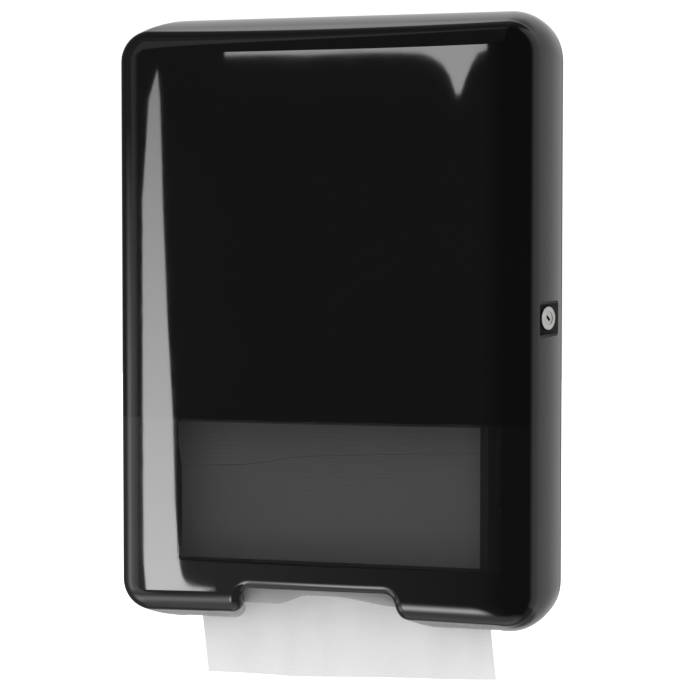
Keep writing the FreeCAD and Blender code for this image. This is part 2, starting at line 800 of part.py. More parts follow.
def end_line(x):
    """Short edge across the towel's thickness."""
    half = towel_thickness / 2
    return Part.makeLine(at(x, towel_depth - half, towel_bottom_z), at(x, towel_depth + half, towel_bottom_z))


def lock_axes():
    """The lock's outward axis and, square to it, the direction of the recess floor towards the front."""
    tilt = radians(lock_tilt)
    return V(cos(tilt), -sin(tilt), 0), V(-sin(tilt), -cos(tilt), 0)


def lock_point(outwards):
    """Point on the lock's axis, measured outwards from the recess floor."""
    outward, along = lock_axes()
    edge = at(half_width - recess_inset, recess_rear_depth + recess_wall, lock_z)
    return edge + along * lock_from_edge + outward * outwards


def recess_outline(offset, z):
    """Outline of the scoop seen from above, moved inwards by an offset."""
    rear = recess_rear_depth + recess_wall
    front = recess_front_depth - recess_wall
    rim_x = half_width - recess_inset
    turn_x = rim_x - (recess_turn_depth - rear) * tan(radians(lock_tilt))
    points = [at(half_width + 1, rear, z), at(rim_x - offset, rear, z), at(turn_x - offset, recess_turn_depth, z)]
    return points + [at(rim_x - offset, front, z), at(half_width + 1, front, z)]


def make_lock_recess():
    """Scooped cup that fills the opening in the cover's right wall and holds the lock."""
    half = recess_height / 2 - recess_fit
    depth_half = (recess_front_depth - recess_rear_depth) / 2 - recess_fit
    depth_mid = (recess_front_depth + recess_rear_depth) / 2
    rim_x = half_width - recess_inset
    flange_x = inner_x - recess_fit
    sleeve = side_block(depth_half, half, recess_corner_radius - recess_fit, 0, rim_x, depth_mid)
    shape = prism(recess_outline(recess_floor_wall, lock_z - half), V(0, 0, 2 * half)).common(sleeve)
    rim = side_block(depth_half, half, recess_corner_radius - recess_fit, flange_x - recess_flange_wall, rim_x, depth_mid)
    shape = shape.fuse(rim)
    flange_half = depth_half + recess_flange_end
    flange_rise = half + recess_flange_width
    flange = side_block(flange_half, flange_rise, recess_corner_radius, flange_x - recess_flange_wall, flange_x, depth_mid)
    pocket_half = half - recess_wall
    pocket = prism(recess_outline(0.0, lock_z - pocket_half), V(0, 0, 2 * pocket_half))
    turn = [e for e in pocket.Edges if is_along_z(e) and abs(e.CenterOfMass.y + recess_turn_depth) < 0.01]
    pocket = pocket.makeFillet(recess_turn_radius, turn)
    outward, along = lock_axes()
    cup = shape.fuse(flange).cut(pocket)
    cup = cup.cut(rod(lock_barrel_radius + lock_hole_clearance, FAR, lock_point(-FAR / 2), outward))
    cup = cup.cut(rod(lock_nut_radius + recess_wall, FAR, lock_point(-recess_floor_wall - FAR), outward))
    return cup.removeSplitter()


def make_lock_body():
    """Round face and barrel of the lock, with the bore for its plug."""
    outward, along = lock_axes()
    face = rod(lock_face_radius, lock_face_height, lock_point(0), outward)
    rim = [e for e in face.Edges if (e.CenterOfMass - lock_point(lock_face_height)).Length < 1e-6]
    face = face.makeFillet(lock_face_rounding, rim)
    barrel = rod(lock_barrel_radius, lock_barrel_length, lock_point(-lock_barrel_length), outward)
    bore = rod(plug_radius + plug_clearance, FAR, lock_point(-FAR / 2), outward)
    return face.fuse(barrel).cut(bore)


def make_lock_nut():
    """Hexagonal nut behind the recess floor."""
    outward, along = lock_axes()
    corners = [radians(60 * k) for k in range(6)]
    seat = lock_point(-recess_floor_wall)
    points = [seat + Z_AXIS * (lock_nut_radius * cos(a)) + along * (lock_nut_radius * sin(a)) for a in corners]
    nut = prism(points, outward * -lock_nut_height)
    return nut.cut(rod(lock_barrel_radius + lock_hole_clearance, FAR, lock_point(-FAR / 2), outward))


def lock_bar(outwards, length, width, height, tilt=0.0):
    """Bar along the lock's axis from a point inwards, its section turned about that axis."""
    outward, along = lock_axes()
    turn = radians(tilt)
    side = along * cos(turn) + Z_AXIS * sin(turn)
    rise = Z_AXIS * cos(turn) - along * sin(turn)
    corners = [(-1, -1), (1, -1), (1, 1), (-1, 1)]
    points = [lock_point(outwards) + side * (a * width / 2) + rise * (b * height / 2) for a, b in corners]
    return prism(points, outward * -length)


def wafer_fronts():
    """Distances of the wafers' front faces from the recess floor, measured outwards."""
    return [plug_front - wafer_start - wafer_pitch * k for k in range(wafer_count)]


def make_lock_wafers():
    """Thin tumblers that stand across the plug, open round the key slot."""
    keyway = lock_bar(plug_front + 1, keyway_depth + 1, keyway_width, keyway_height, keyway_tilt)
    wafers = [lock_bar(front, wafer_thickness, wafer_width, wafer_height).cut(keyway) for front in wafer_fronts()]
    return Part.makeCompound(wafers)


def make_lock_plug():
    """Turning plug with its key slot, the slots for the wafers and the tang for the cam."""
    outward, along = lock_axes()
    plug = rod(plug_radius, plug_length, lock_point(plug_back), outward)
    plug = plug.cut(lock_bar(plug_front + 1, keyway_depth + 1, keyway_width, keyway_height, keyway_tilt))
    for front in wafer_fronts():
        room = wafer_thickness + 2 * wafer_clearance
        width = wafer_width + 2 * wafer_clearance
        height = wafer_height + 2 * wafer_clearance
        plug = plug.cut(lock_bar(front + wafer_clearance, room, width, height))
    plug = plug.fuse(lock_bar(plug_back, cam_thickness, tang_width, tang_height))
    return plug.cut(rod(cam_screw_radius + screw_clearance, cam_screw_length, lock_point(cam_back), outward))


def make_cam():
    """Arm behind the plug. At rest it points at the wall; turned, it points up behind the strike."""
    outward, along = lock_axes()
    reach = cam_length - cam_end_radius
    back = lock_point(cam_back)
    cam = rod(cam_hub_radius, cam_thickness, back, outward)
    cam = cam.fuse(rod(cam_end_radius, cam_thickness, back - along * reach, outward))
    arm = lock_bar(plug_back, cam_thickness, reach, 2 * cam_end_radius)
    arm.translate(along * (-reach / 2))
    hole_width = tang_width + 2 * tang_clearance
    hole_height = tang_height + 2 * tang_clearance
    return cam.fuse(arm).cut(lock_bar(plug_back + 1, cam_thickness + 2, hole_width, hole_height)).removeSplitter()


def make_cam_screw():
    """Screw that clamps the cam to the plug's tang."""
    outward, along = lock_axes()
    head = rod(cam_screw_head_radius, cam_screw_head_height, lock_point(cam_back - cam_screw_head_height), outward)
    shank = rod(cam_screw_radius, cam_screw_length - screw_end_room, lock_point(cam_back), outward)
    return head.fuse(shank)


def make_strike():
    """Hook on the wall plate that the turned cam lies behind."""
    tilt = radians(lock_tilt)
    cam_middle_depth = -lock_point(cam_back + cam_thickness / 2).y
    cam_front = cam_middle_depth + cam_end_radius * cos(tilt) + cam_thickness / 2 * sin(tilt)
    lip_rear = cam_front + strike_clearance
    lip_front = lip_rear + strike_wall
    left = lock_point(cam_back).x - strike_inner_margin
    right = left + strike_width
    post_low = lock_z + cam_length + strike_tip_clearance
    post_high = post_low + strike_wall
    lip_low = lock_z + lock_barrel_radius + strike_clearance
    strike = block(left, right, plate_thickness, lip_front, post_low, post_high)
    strike = strike.fuse(block(left, right, lip_rear, lip_front, lip_low, post_high))
    foot_front = plate_thickness + strike_foot_wall
    strike = strike.fuse(block(left, right, plate_thickness, foot_front, post_low, post_high + strike_foot_height))
    for x, seat, z in strike_screw_places():
        strike = strike.cut(screw_hole(x, seat + 1, z))
    return strike.removeSplitter()


def build_nodes():
    """All named sub-parts."""
    nodes = {"wall_plate": make_wall_plate(), "towel_tray": make_tray(), "dispensing_lip": make_dispensing_lip()}
    nodes["left_stack_guide"] = make_stack_guide(-1)
    nodes["right_stack_guide"] = make_stack_guide(1)
    for name, z_mid in (("upper", hinge_offset_z), ("lower", -hinge_offset_z)):
        nodes[name + "_hinge_bracket"] = make_hinge_bracket(z_mid)
        nodes[name + "_hinge_pin"] = make_hinge_pin(z_mid)
    nodes["lock_strike"] = make_strike()
    nodes["bracket_screws"] = make_screws(bracket_screw_places())
    nodes["guide_screws"] = make_screws(guide_screw_places())
    nodes["tray_screws"] = make_screws(tray_screw_places())
    nodes["strike_screw"] = make_screws(strike_screw_places())
    nodes["lip_screws"] = make_lip_screws()
    nodes["lower_towel_bundle"] = make_bundle(stack_bottom_z, bundle_joint_z, 0.0)
    upper_low = bundle_joint_z + bundle_gap
    nodes["upper_towel_bundle"] = make_bundle(upper_low, upper_low + upper_bundle_height, bundle_shift)
    nodes["leading_towel"] = make_leading_towel()
    nodes.update(make_cover())
    nodes["window_rivets"] = make_window_rivets()
    nodes["hinge_strip"] = make_hinge_strip()
    nodes["strip_rivets"] = make_strip_rivets()
    nodes["lock_recess"] = make_lock_recess()
    nodes["lock_body"] = make_lock_body()
    nodes["lock_nut"] = make_lock_nut()
    nodes["lock_plug"] = make_lock_plug()
    nodes["lock_wafers"] = make_lock_wafers()
    nodes["lock_cam"] = make_cam()
    nodes["cam_screw"] = make_cam_screw()
    return nodes


os.makedirs("parts", exist_ok=True)
for node_name, shape in build_nodes().items():
    shape.exportStep("parts/" + node_name + ".step")
    print(node_name, len(shape.Solids), "valid" if shape.isValid() else "INVALID", round(shape.Volume / 1000, 2), "cm3")
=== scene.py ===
"""Looks of a wall dispenser for folded hand towels: finishes, modelled pieces, light and camera.

Metres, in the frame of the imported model: X to the right, Z up, the front faces -Y and the wall is y = 0.
"Depth" is the distance from the wall, so a point at depth d lies at y = -d.
"""
import json
import logging
import math
import random
from bisect import bisect_left
from collections.abc import Callable
from dataclasses import dataclass, field
from enum import Enum
from functools import reduce

import bmesh
import bpy
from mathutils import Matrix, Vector
from mathutils.bvhtree import BVHTree
from mathutils.interpolate import poly_3d_calc

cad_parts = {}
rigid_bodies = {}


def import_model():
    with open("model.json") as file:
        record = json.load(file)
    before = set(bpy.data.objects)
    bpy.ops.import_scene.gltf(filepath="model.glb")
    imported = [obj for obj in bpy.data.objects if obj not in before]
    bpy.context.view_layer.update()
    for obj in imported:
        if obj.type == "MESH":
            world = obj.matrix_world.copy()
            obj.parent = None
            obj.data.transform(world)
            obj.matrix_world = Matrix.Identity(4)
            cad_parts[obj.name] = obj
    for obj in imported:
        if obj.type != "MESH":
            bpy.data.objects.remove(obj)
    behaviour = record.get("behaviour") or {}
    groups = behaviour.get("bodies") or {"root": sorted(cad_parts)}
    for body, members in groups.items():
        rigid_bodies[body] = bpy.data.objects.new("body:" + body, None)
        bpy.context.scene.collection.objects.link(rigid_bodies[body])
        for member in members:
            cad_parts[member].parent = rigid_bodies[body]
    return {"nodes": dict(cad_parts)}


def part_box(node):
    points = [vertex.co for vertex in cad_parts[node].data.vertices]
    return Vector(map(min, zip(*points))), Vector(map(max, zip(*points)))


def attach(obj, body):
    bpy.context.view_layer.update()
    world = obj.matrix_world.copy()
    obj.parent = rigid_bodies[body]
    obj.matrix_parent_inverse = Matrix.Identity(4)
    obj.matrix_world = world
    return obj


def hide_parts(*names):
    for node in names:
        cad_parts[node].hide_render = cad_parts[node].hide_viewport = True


LOG = logging.getLogger("towel_dispenser")
PRINCIPLED = "BsdfPrincipled"
SPECULAR = "Specular IOR Level"
TINY = 1e-6
CLOSE = 0.0001
WALL = 0.0025
SEAM_Z = -0.068

Piece = bpy.types.Object
Material = bpy.types.Material
Socket = bpy.types.NodeSocket
Point = tuple[float, float]
Triple = tuple[float, float, float]
Colour = tuple[float, float, float, float]
Key = tuple[int, int, int]
PlaceTest = Callable[[Vector], bool]
FaceTest = Callable[[bmesh.types.BMFace], bool]
EdgeTest = Callable[[bmesh.types.BMEdge], bool]


class Slot(Enum):
    """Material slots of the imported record."""

    GLOSS_BLACK = "gloss_black"
    SMOKED_WINDOW = "smoked_window"
    BLACK_MOULDING = "black_moulding"
    GREY_MOULDING = "grey_moulding"
    PAPER = "paper"
    LOCK_CHROME = "lock_chrome"
    STEEL = "steel"
    BRASS = "brass"


class Body(Enum):
    """Bodies that the pieces move with."""

    CHASSIS = "chassis"
    COVER = "cover"
    LEAD_TOWEL = "lead_towel"


# ---- node and mesh helpers


class Graph:
    """Node tree that nodes are added to and joined in."""

    def __init__(self, tree: bpy.types.NodeTree) -> None:
        """Start with an empty tree."""
        self.tree = tree
        tree.nodes.clear()

    def add(self, kind: str, inputs: dict | None = None, **settings: object) -> bpy.types.Node:
        """Add a node.

        Args:
            kind: type name of the node, without its common prefix.
            inputs: socket name or number, to a plain value or to the socket that feeds it.
            settings: the node's own settings.

        Returns:
            The new node.
        """
        node = self.tree.nodes.new("ShaderNode" + kind)
        for name, value in settings.items():
            setattr(node, name, value)
        for name, value in (inputs or {}).items():
            if isinstance(value, Socket):
                self.tree.links.new(value, node.inputs[name])
            else:
                node.inputs[name].default_value = value
        return node

    def math(self, operation: str, *values: object) -> Socket:
        """Result of a Math node on plain values or sockets."""
        return self.add("Math", dict(enumerate(values)), operation=operation).outputs[0]

    def ramp(self, value: object, low: float, high: float, at_low: float, at_high: float) -> Socket:
        """Value carried from one range to another, held at the ends."""
        inputs = {"Value": value, "From Min": low, "From Max": high, "To Min": at_low, "To Max": at_high}
        return self.add("MapRange", inputs).outputs["Result"]

    def total(self, *values: object) -> Socket:
        """Sum of several values."""
        return reduce(lambda whole, value: self.math("ADD", whole, value), values)

    def product(self, *values: object) -> Socket:
        """Product of several values."""
        return reduce(lambda whole, value: self.math("MULTIPLY", whole, value), values)

    def hill(self, value: object, middle: float, width: float) -> Socket:
        """Bell curve of height 1 round a middle."""
        off = self.math("DIVIDE", self.math("SUBTRACT", value, middle), width)
        return self.math("EXPONENT", self.product(off, off, -1.0))

    def blend(self, factor: object, first: object, second: object) -> Socket:
        """Mix of two colours."""
        return self.add("Mix", {0: factor, 6: first, 7: second}, data_type="RGBA").outputs[2]

    def place(self, scale: Triple = (1.0, 1.0, 1.0), turn: float = 0.0) -> Socket:
        """Object coordinates, scaled and turned about Y."""
        coordinates = self.add("TexCoord").outputs["Object"]
        inputs = {"Vector": coordinates, "Scale": scale, "Rotation": (0.0, turn, 0.0)}
        return self.add("Mapping", inputs).outputs[0]

    def noise(self, where: object, scale: float, detail: float = 2.0) -> Socket:
        """Noise from 0 to 1 at a number of grains per metre."""
        return self.add("TexNoise", {"Vector": where, "Scale": scale, "Detail": detail}).outputs["Fac"]

    def bump(self, height: object, distance: float, normal: object = None) -> Socket:
        """Normal of a surface raised by a height times a distance in metres."""
        inputs = {"Height": height, "Distance": distance, "Strength": 1.0}
        if normal is not None:
            inputs["Normal"] = normal
        return self.add("Bump", inputs).outputs[0]

    def finish(self, kind: str, inputs: dict, output: str = "OutputMaterial") -> None:
        """Add the last shader and join it to the output."""
        self.add(output, {0: self.add(kind, inputs).outputs[0]})


def new_material(name: str) -> tuple[Material, Graph]:
    """Empty node material and its graph."""
    material = bpy.data.materials.new(name)
    material.use_nodes = True
    return material, Graph(material.node_tree)


def grey(value: float) -> Colour:
    """Neutral colour of one linear value."""
    return (value, value, value, 1.0)


def deselect_all() -> None:
    """Leave nothing selected and no mode but object mode."""
    if bpy.context.object and bpy.context.object.mode != "OBJECT":
        bpy.ops.object.mode_set(mode="OBJECT")
    bpy.ops.object.select_all(action="DESELECT")


def make_active(piece: Piece) -> None:
    """Select one object alone."""
    deselect_all()
    piece.select_set(True)
    bpy.context.view_layer.objects.active = piece


def newest(name: str) -> Piece:
    """The primitive that was just added, under its own name."""
    piece = bpy.context.object
    piece.name = name
    piece.data.name = name
    return piece


def polygon(name: str, points: list, fill: str = "NGON") -> Piece:
    """A closed outline through given points, filled or not."""
    deselect_all()
    bpy.ops.mesh.primitive_circle_add(vertices=len(points), radius=1.0, fill_type=fill)
    piece = newest(name)
    for vertex, point in zip(piece.data.vertices, points):
        vertex.co = point
    return piece


def grid(name: str, across: int, down: int) -> Piece:
    """A grid of cells whose points run from -1 to 1 in x and y."""
    deselect_all()
    bpy.ops.mesh.primitive_grid_add(x_subdivisions=across, y_subdivisions=down, size=2.0)
    return newest(name)


def join(piece: Piece, *others: Piece) -> None:
    """Join other objects to a piece."""
    make_active(piece)
    for other in others:
        other.select_set(True)
    bpy.ops.object.join()


def apply_place(piece: Piece) -> None:
    """Move an object's place, turn and scale into its mesh."""
    make_active(piece)
    bpy.ops.object.transform_apply(location=True, rotation=True, scale=True)


def apply_modifier(piece: Piece, kind: str, **settings: object) -> None:
    """Add a modifier with its settings and apply it."""
    make_active(piece)
    modifier = piece.modifiers.new(kind.lower(), kind)
    for name, value in settings.items():
        setattr(modifier, name, value)
    bpy.ops.object.modifier_apply(modifier=modifier.name)


def edit(piece: Piece) -> None:
    """Enter edit mode on a piece, all of it deselected."""
    make_active(piece)
    bpy.ops.object.mode_set(mode="EDIT")
    bpy.ops.mesh.select_mode(type="VERT")
    bpy.ops.mesh.select_all(action="DESELECT")


def select_faces(piece: Piece, wanted: FaceTest) -> None:
    """In edit mode, select the faces that pass a test and no others."""
    bpy.ops.mesh.select_mode(type="FACE")
    bpy.ops.mesh.select_all(action="DESELECT")
    mesh = bmesh.from_edit_mesh(piece.data)
    for face in mesh.faces:
        if wanted(face):
            face.select = True
    mesh.select_flush_mode()
    bmesh.update_edit_mesh(piece.data)


def select_edges(piece: Piece, wanted: EdgeTest) -> None:
    """In edit mode, select the edges that pass a test and no others."""
    bpy.ops.mesh.select_mode(type="EDGE")
    mesh = bmesh.from_edit_mesh(piece.data)
    for side in mesh.edges:
        side.select = wanted(side)
    bmesh.update_edit_mesh(piece.data)


def delete_faces(piece: Piece, wanted: FaceTest) -> None:
    """In edit mode, delete the faces that pass a test."""
    select_faces(piece, wanted)
    bpy.ops.mesh.delete(type="FACE")


def select_whole() -> None:
    """In edit mode, select the whole mesh."""
    bpy.ops.mesh.select_all(action="SELECT")


def slice_whole(place: Vector | Triple, way: Triple, **settings: object) -> None:
    """In edit mode, cut the whole mesh along a plane."""
    select_whole()
    bpy.ops.mesh.bisect(plane_co=place, plane_no=way, **settings)


def leave_edit() -> None:
    """Back to object mode."""
    bpy.ops.object.mode_set(mode="OBJECT")


def smooth(piece: Piece, degrees: float = 30.0) -> None:
    """Shade smooth, apart from edges sharper than an angle."""
    make_active(piece)
    bpy.ops.object.shade_smooth_by_angle(angle=math.radians(degrees))


def thicken(piece: Piece, thickness: float, **settings: object) -> None:
    """Give a skin its wall, inwards."""
    apply_modifier(piece, "SOLIDIFY", thickness=thickness, offset=-1.0, use_even_offset=False, **settings)


def put_finish(piece: Piece, *finishes: Material) -> None:
    """Give a piece its materials, in order."""
    piece.data.materials.clear()
    for finish in finishes:
        piece.data.materials.append(finish)


def arc(centre: Point, radius: float, start: float, end: float, steps: int) -> list[Point]:
    """Points of an arc in a plane, angles in degrees."""
    turns = [math.radians(start + (end - start) * k / steps) for k in range(steps + 1)]
    return [(centre[0] + radius * math.cos(t), centre[1] + radius * math.sin(t)) for t in turns]


def share_of(value: float, low: float, high: float) -> float:
    """Share of the way from low to high, held at both ends."""
    return max(0.0, min(1.0, (value - low) / (high - low)))


def inside(outline: list[Point], x: float, z: float) -> bool:
    """True for a point inside a closed outline."""
    odd = False
    for (ax, az), (bx, bz) in zip(outline, outline[1:] + outline[:1]):
        if (az > z) != (bz > z) and x < ax + (z - az) / (bz - az) * (bx - ax):
            odd = not odd
    return odd


def cut_opening(piece: Piece, loop: list[Vector], push: Vector, hole: PlaceTest) -> None:
    """Cut a skin along a closed loop pushed through it, and delete the faces in the hole.

    Args:
        piece: the skin.
        loop: points of the cutting outline, on one side of the skin.
        push: way from there to the other side.
        hole: test of a face's centre.
    """
    cutter = polygon("cutting_outline", loop, "NOTHING")
    put_finish(cutter, bpy.data.materials.new("cutting"))
    edit(cutter)
    select_whole()
    bpy.ops.mesh.extrude_region_move(TRANSFORM_OT_translate={"value": push})
    leave_edit()
    if not piece.data.materials:
        piece.data.materials.append(bpy.data.materials.new("skin"))
    join(piece, cutter)
    edit(piece)
    select_faces(piece, lambda face: face.material_index == 1)
    bpy.ops.mesh.intersect(mode="SELECT_UNSELECT", separate_mode="CUT", solver="EXACT")
    select_whole()
    bpy.ops.mesh.quads_convert_to_tris()
    delete_faces(piece, lambda face: face.material_index == 1 or hole(face.calc_center_median()))
    leave_edit()
    piece.data.materials.clear()


# ---- finishes


@dataclass(frozen=True)
class Plastic:
    """Plastic whose colour and gloss vary a little, with a fine relief."""

    name: str
    colour: float
    roughness: float
    spread: float = 0.1
    cloud: float = 18.0
    dull_cloud: float = 18.0
    relief: float = 900.0
    relief_detail: float = 2.0
    relief_depth: float = 0.00004
    specular: float = 0.5
    ior: float = 1.5
    alpha: float = 1.0
    colour_left: float | None = None

    def material(self) -> Material:
        """The plastic, paler towards the left where that is given, as painted light."""
        material, graph = new_material(self.name)
        where = graph.place()
        low, high = 1.0 - self.spread, 1.0 + self.spread
        cloud = graph.noise(where, self.cloud)
        colour = graph.blend(cloud, grey(self.colour * low), grey(self.colour * high))
        # Painted light: the colour turns paler towards the left.
        if self.colour_left is not None:
            across = graph.add("SeparateXYZ", {0: where}).outputs["X"]
            colour = graph.blend(graph.ramp(across, -0.05, 0.13, 0.0, 1.0), grey(self.colour_left), colour)
        dull = graph.noise(where, self.dull_cloud)
        rough = graph.ramp(dull, 0.3, 0.7, self.roughness * low, self.roughness * high)
        raised = graph.bump(graph.noise(where, self.relief, self.relief_detail), self.relief_depth)
        inputs = {"Base Color": colour, "Roughness": rough, "Normal": raised}
        inputs |= {"IOR": self.ior, "Alpha": self.alpha, SPECULAR: self.specular}
        graph.finish(PRINCIPLED, inputs)
        return material


def gloss(name: str, colour: float, **others: float) -> Plastic:
    """Polished plastic with a faint waviness, opaque or smoked."""
    waves = {"relief": 26.0, "relief_detail": 0.0, "relief_depth": 0.000008}
    return Plastic(name, colour, 0.03, spread=0.15, cloud=9.0, dull_cloud=60.0, **waves, **others)


@dataclass(frozen=True)
class Metal:
    """Plated or turned metal."""

    name: str
    colour: Colour
    roughness: float
    mark_depth: float = 0.00001

    def material(self) -> Material:
        """Metal with fine turning marks and slight stains."""
        material, graph = new_material(self.name)
        marks = graph.noise(graph.place(), 2400.0)
        stain = graph.noise(graph.place(), 220.0)
        dull = tuple(0.72 * part for part in self.colour[:3]) + (1.0,)
        colour = graph.blend(graph.ramp(stain, 0.35, 0.75, 0.0, 0.7), self.colour, dull)
        rough = graph.ramp(marks, 0.3, 0.7, self.roughness * 0.8, self.roughness * 1.25)
        fine = graph.bump(marks, self.mark_depth)
        graph.finish(PRINCIPLED, {"Base Color": colour, "Roughness": rough, "Metallic": 1.0, "Normal": fine})
        return material


@dataclass(frozen=True)
class TowelPaper:
    """Soft white tissue with an embossed diamond of dots."""

    name: str
    colour: float = 0.93
    darkest: float = 0.55
    dot_pitch: float = 0.0021
    dot_depth: float = 0.00022
    fibre_depth: float = 0.00006

    def material(self) -> Material:
        """Matt paper with pressed dots, also darkened as painted shade, fibres and a cloudy thickness."""
        material, graph = new_material(self.name)
        where = graph.place(turn=math.radians(45.0))
        inputs = {"Vector": where, "Scale": 1.0 / self.dot_pitch, "Randomness": 0.0}
        dots = graph.add("TexVoronoi", inputs).outputs["Distance"]
        pressed = graph.ramp(dots, 0.12, 0.42, 0.0, 1.0)
        fibre = graph.noise(graph.place(), 1500.0, 3.0)
        cloud = graph.noise(graph.place(), 45.0, 3.0)
        # The pressed dots are darker in colour: painted shade in the dots. The cloud is the paper's own uneven
        # thickness.
        tone = graph.product(graph.ramp(cloud, 0.3, 0.7, 0.94, 1.0), graph.ramp(pressed, 0.0, 1.0, 0.93, 1.0))
        colour = graph.blend(tone, grey(self.colour * self.darkest), grey(self.colour))
        normal = graph.bump(fibre, self.fibre_depth, graph.bump(pressed, self.dot_depth))
        inputs = {"Base Color": colour, "Roughness": 0.95, "Normal": normal, SPECULAR: 0.15}
        graph.finish(PRINCIPLED, inputs)
        return material


@dataclass
class Finishes:
    """All the materials of the dispenser, made once."""

    made: dict[Slot | str, Material] = field(default_factory=dict)

    def build(self) -> None:
        """Make each finish, kept under its slot, or under a word of its own where no slot has it."""
        finishes = {
            Slot.GLOSS_BLACK: gloss("gloss_black_finish", 0.003),
            Slot.SMOKED_WINDOW: gloss("smoked_window_finish", 0.010, ior=1.62, alpha=0.46),
            Slot.BLACK_MOULDING: Plastic("black_moulding_finish", 0.014, 0.42),
            Slot.GREY_MOULDING: Plastic("grey_moulding_finish", 0.34, 0.38, relief_depth=0.00002),
            Slot.PAPER: TowelPaper("towel_paper"),
            Slot.LOCK_CHROME: Metal("lock_chrome_finish", (0.78, 0.77, 0.75, 1.0), 0.2),
            Slot.STEEL: Metal("zinc_steel", (0.56, 0.57, 0.58, 1.0), 0.34),
            Slot.BRASS: Metal("wafer_brass", (0.62, 0.47, 0.24, 1.0), 0.3),
            "inside": gloss("smoked_window_inside", 0.010, alpha=0.50, specular=0.1),
            # Opaque outer wall and dark inner sheet where the window is not clear: painted shade of the
            # interior behind it, paler at the left as painted light.
            "edge": gloss("smoked_window_painted_shade", 0.004, colour_left=0.015),
            "backing": Plastic("window_backing", 0.012, 0.5),
            "recess": Plastic("recess_moulding", 0.016, 0.62, specular=0.22),
            # Guides paler than the black moulding: painted light that lifts the shade beside the towels.
            "guide": Plastic("guide_moulding_painted_light", 0.055, 0.45),
        }
        self.made = {key: finish.material() for key, finish in finishes.items()}

    def dress(self, nodes: dict[str, Piece]) -> None:
        """Give every carried-over node the finish of its slot."""
        # The guides take the paler finish, which is painted light.
        own = {"lock_recess": "recess", "left_stack_guide": "guide", "right_stack_guide": "guide"}
        for name, node in nodes.items():
            for holder in node.material_slots:
                slot = Slot(holder.material.name.split(".")[0])
                holder.material = self.made[own.get(name, slot)]
            LOG.info("node %s dressed", name)


# ---- cover


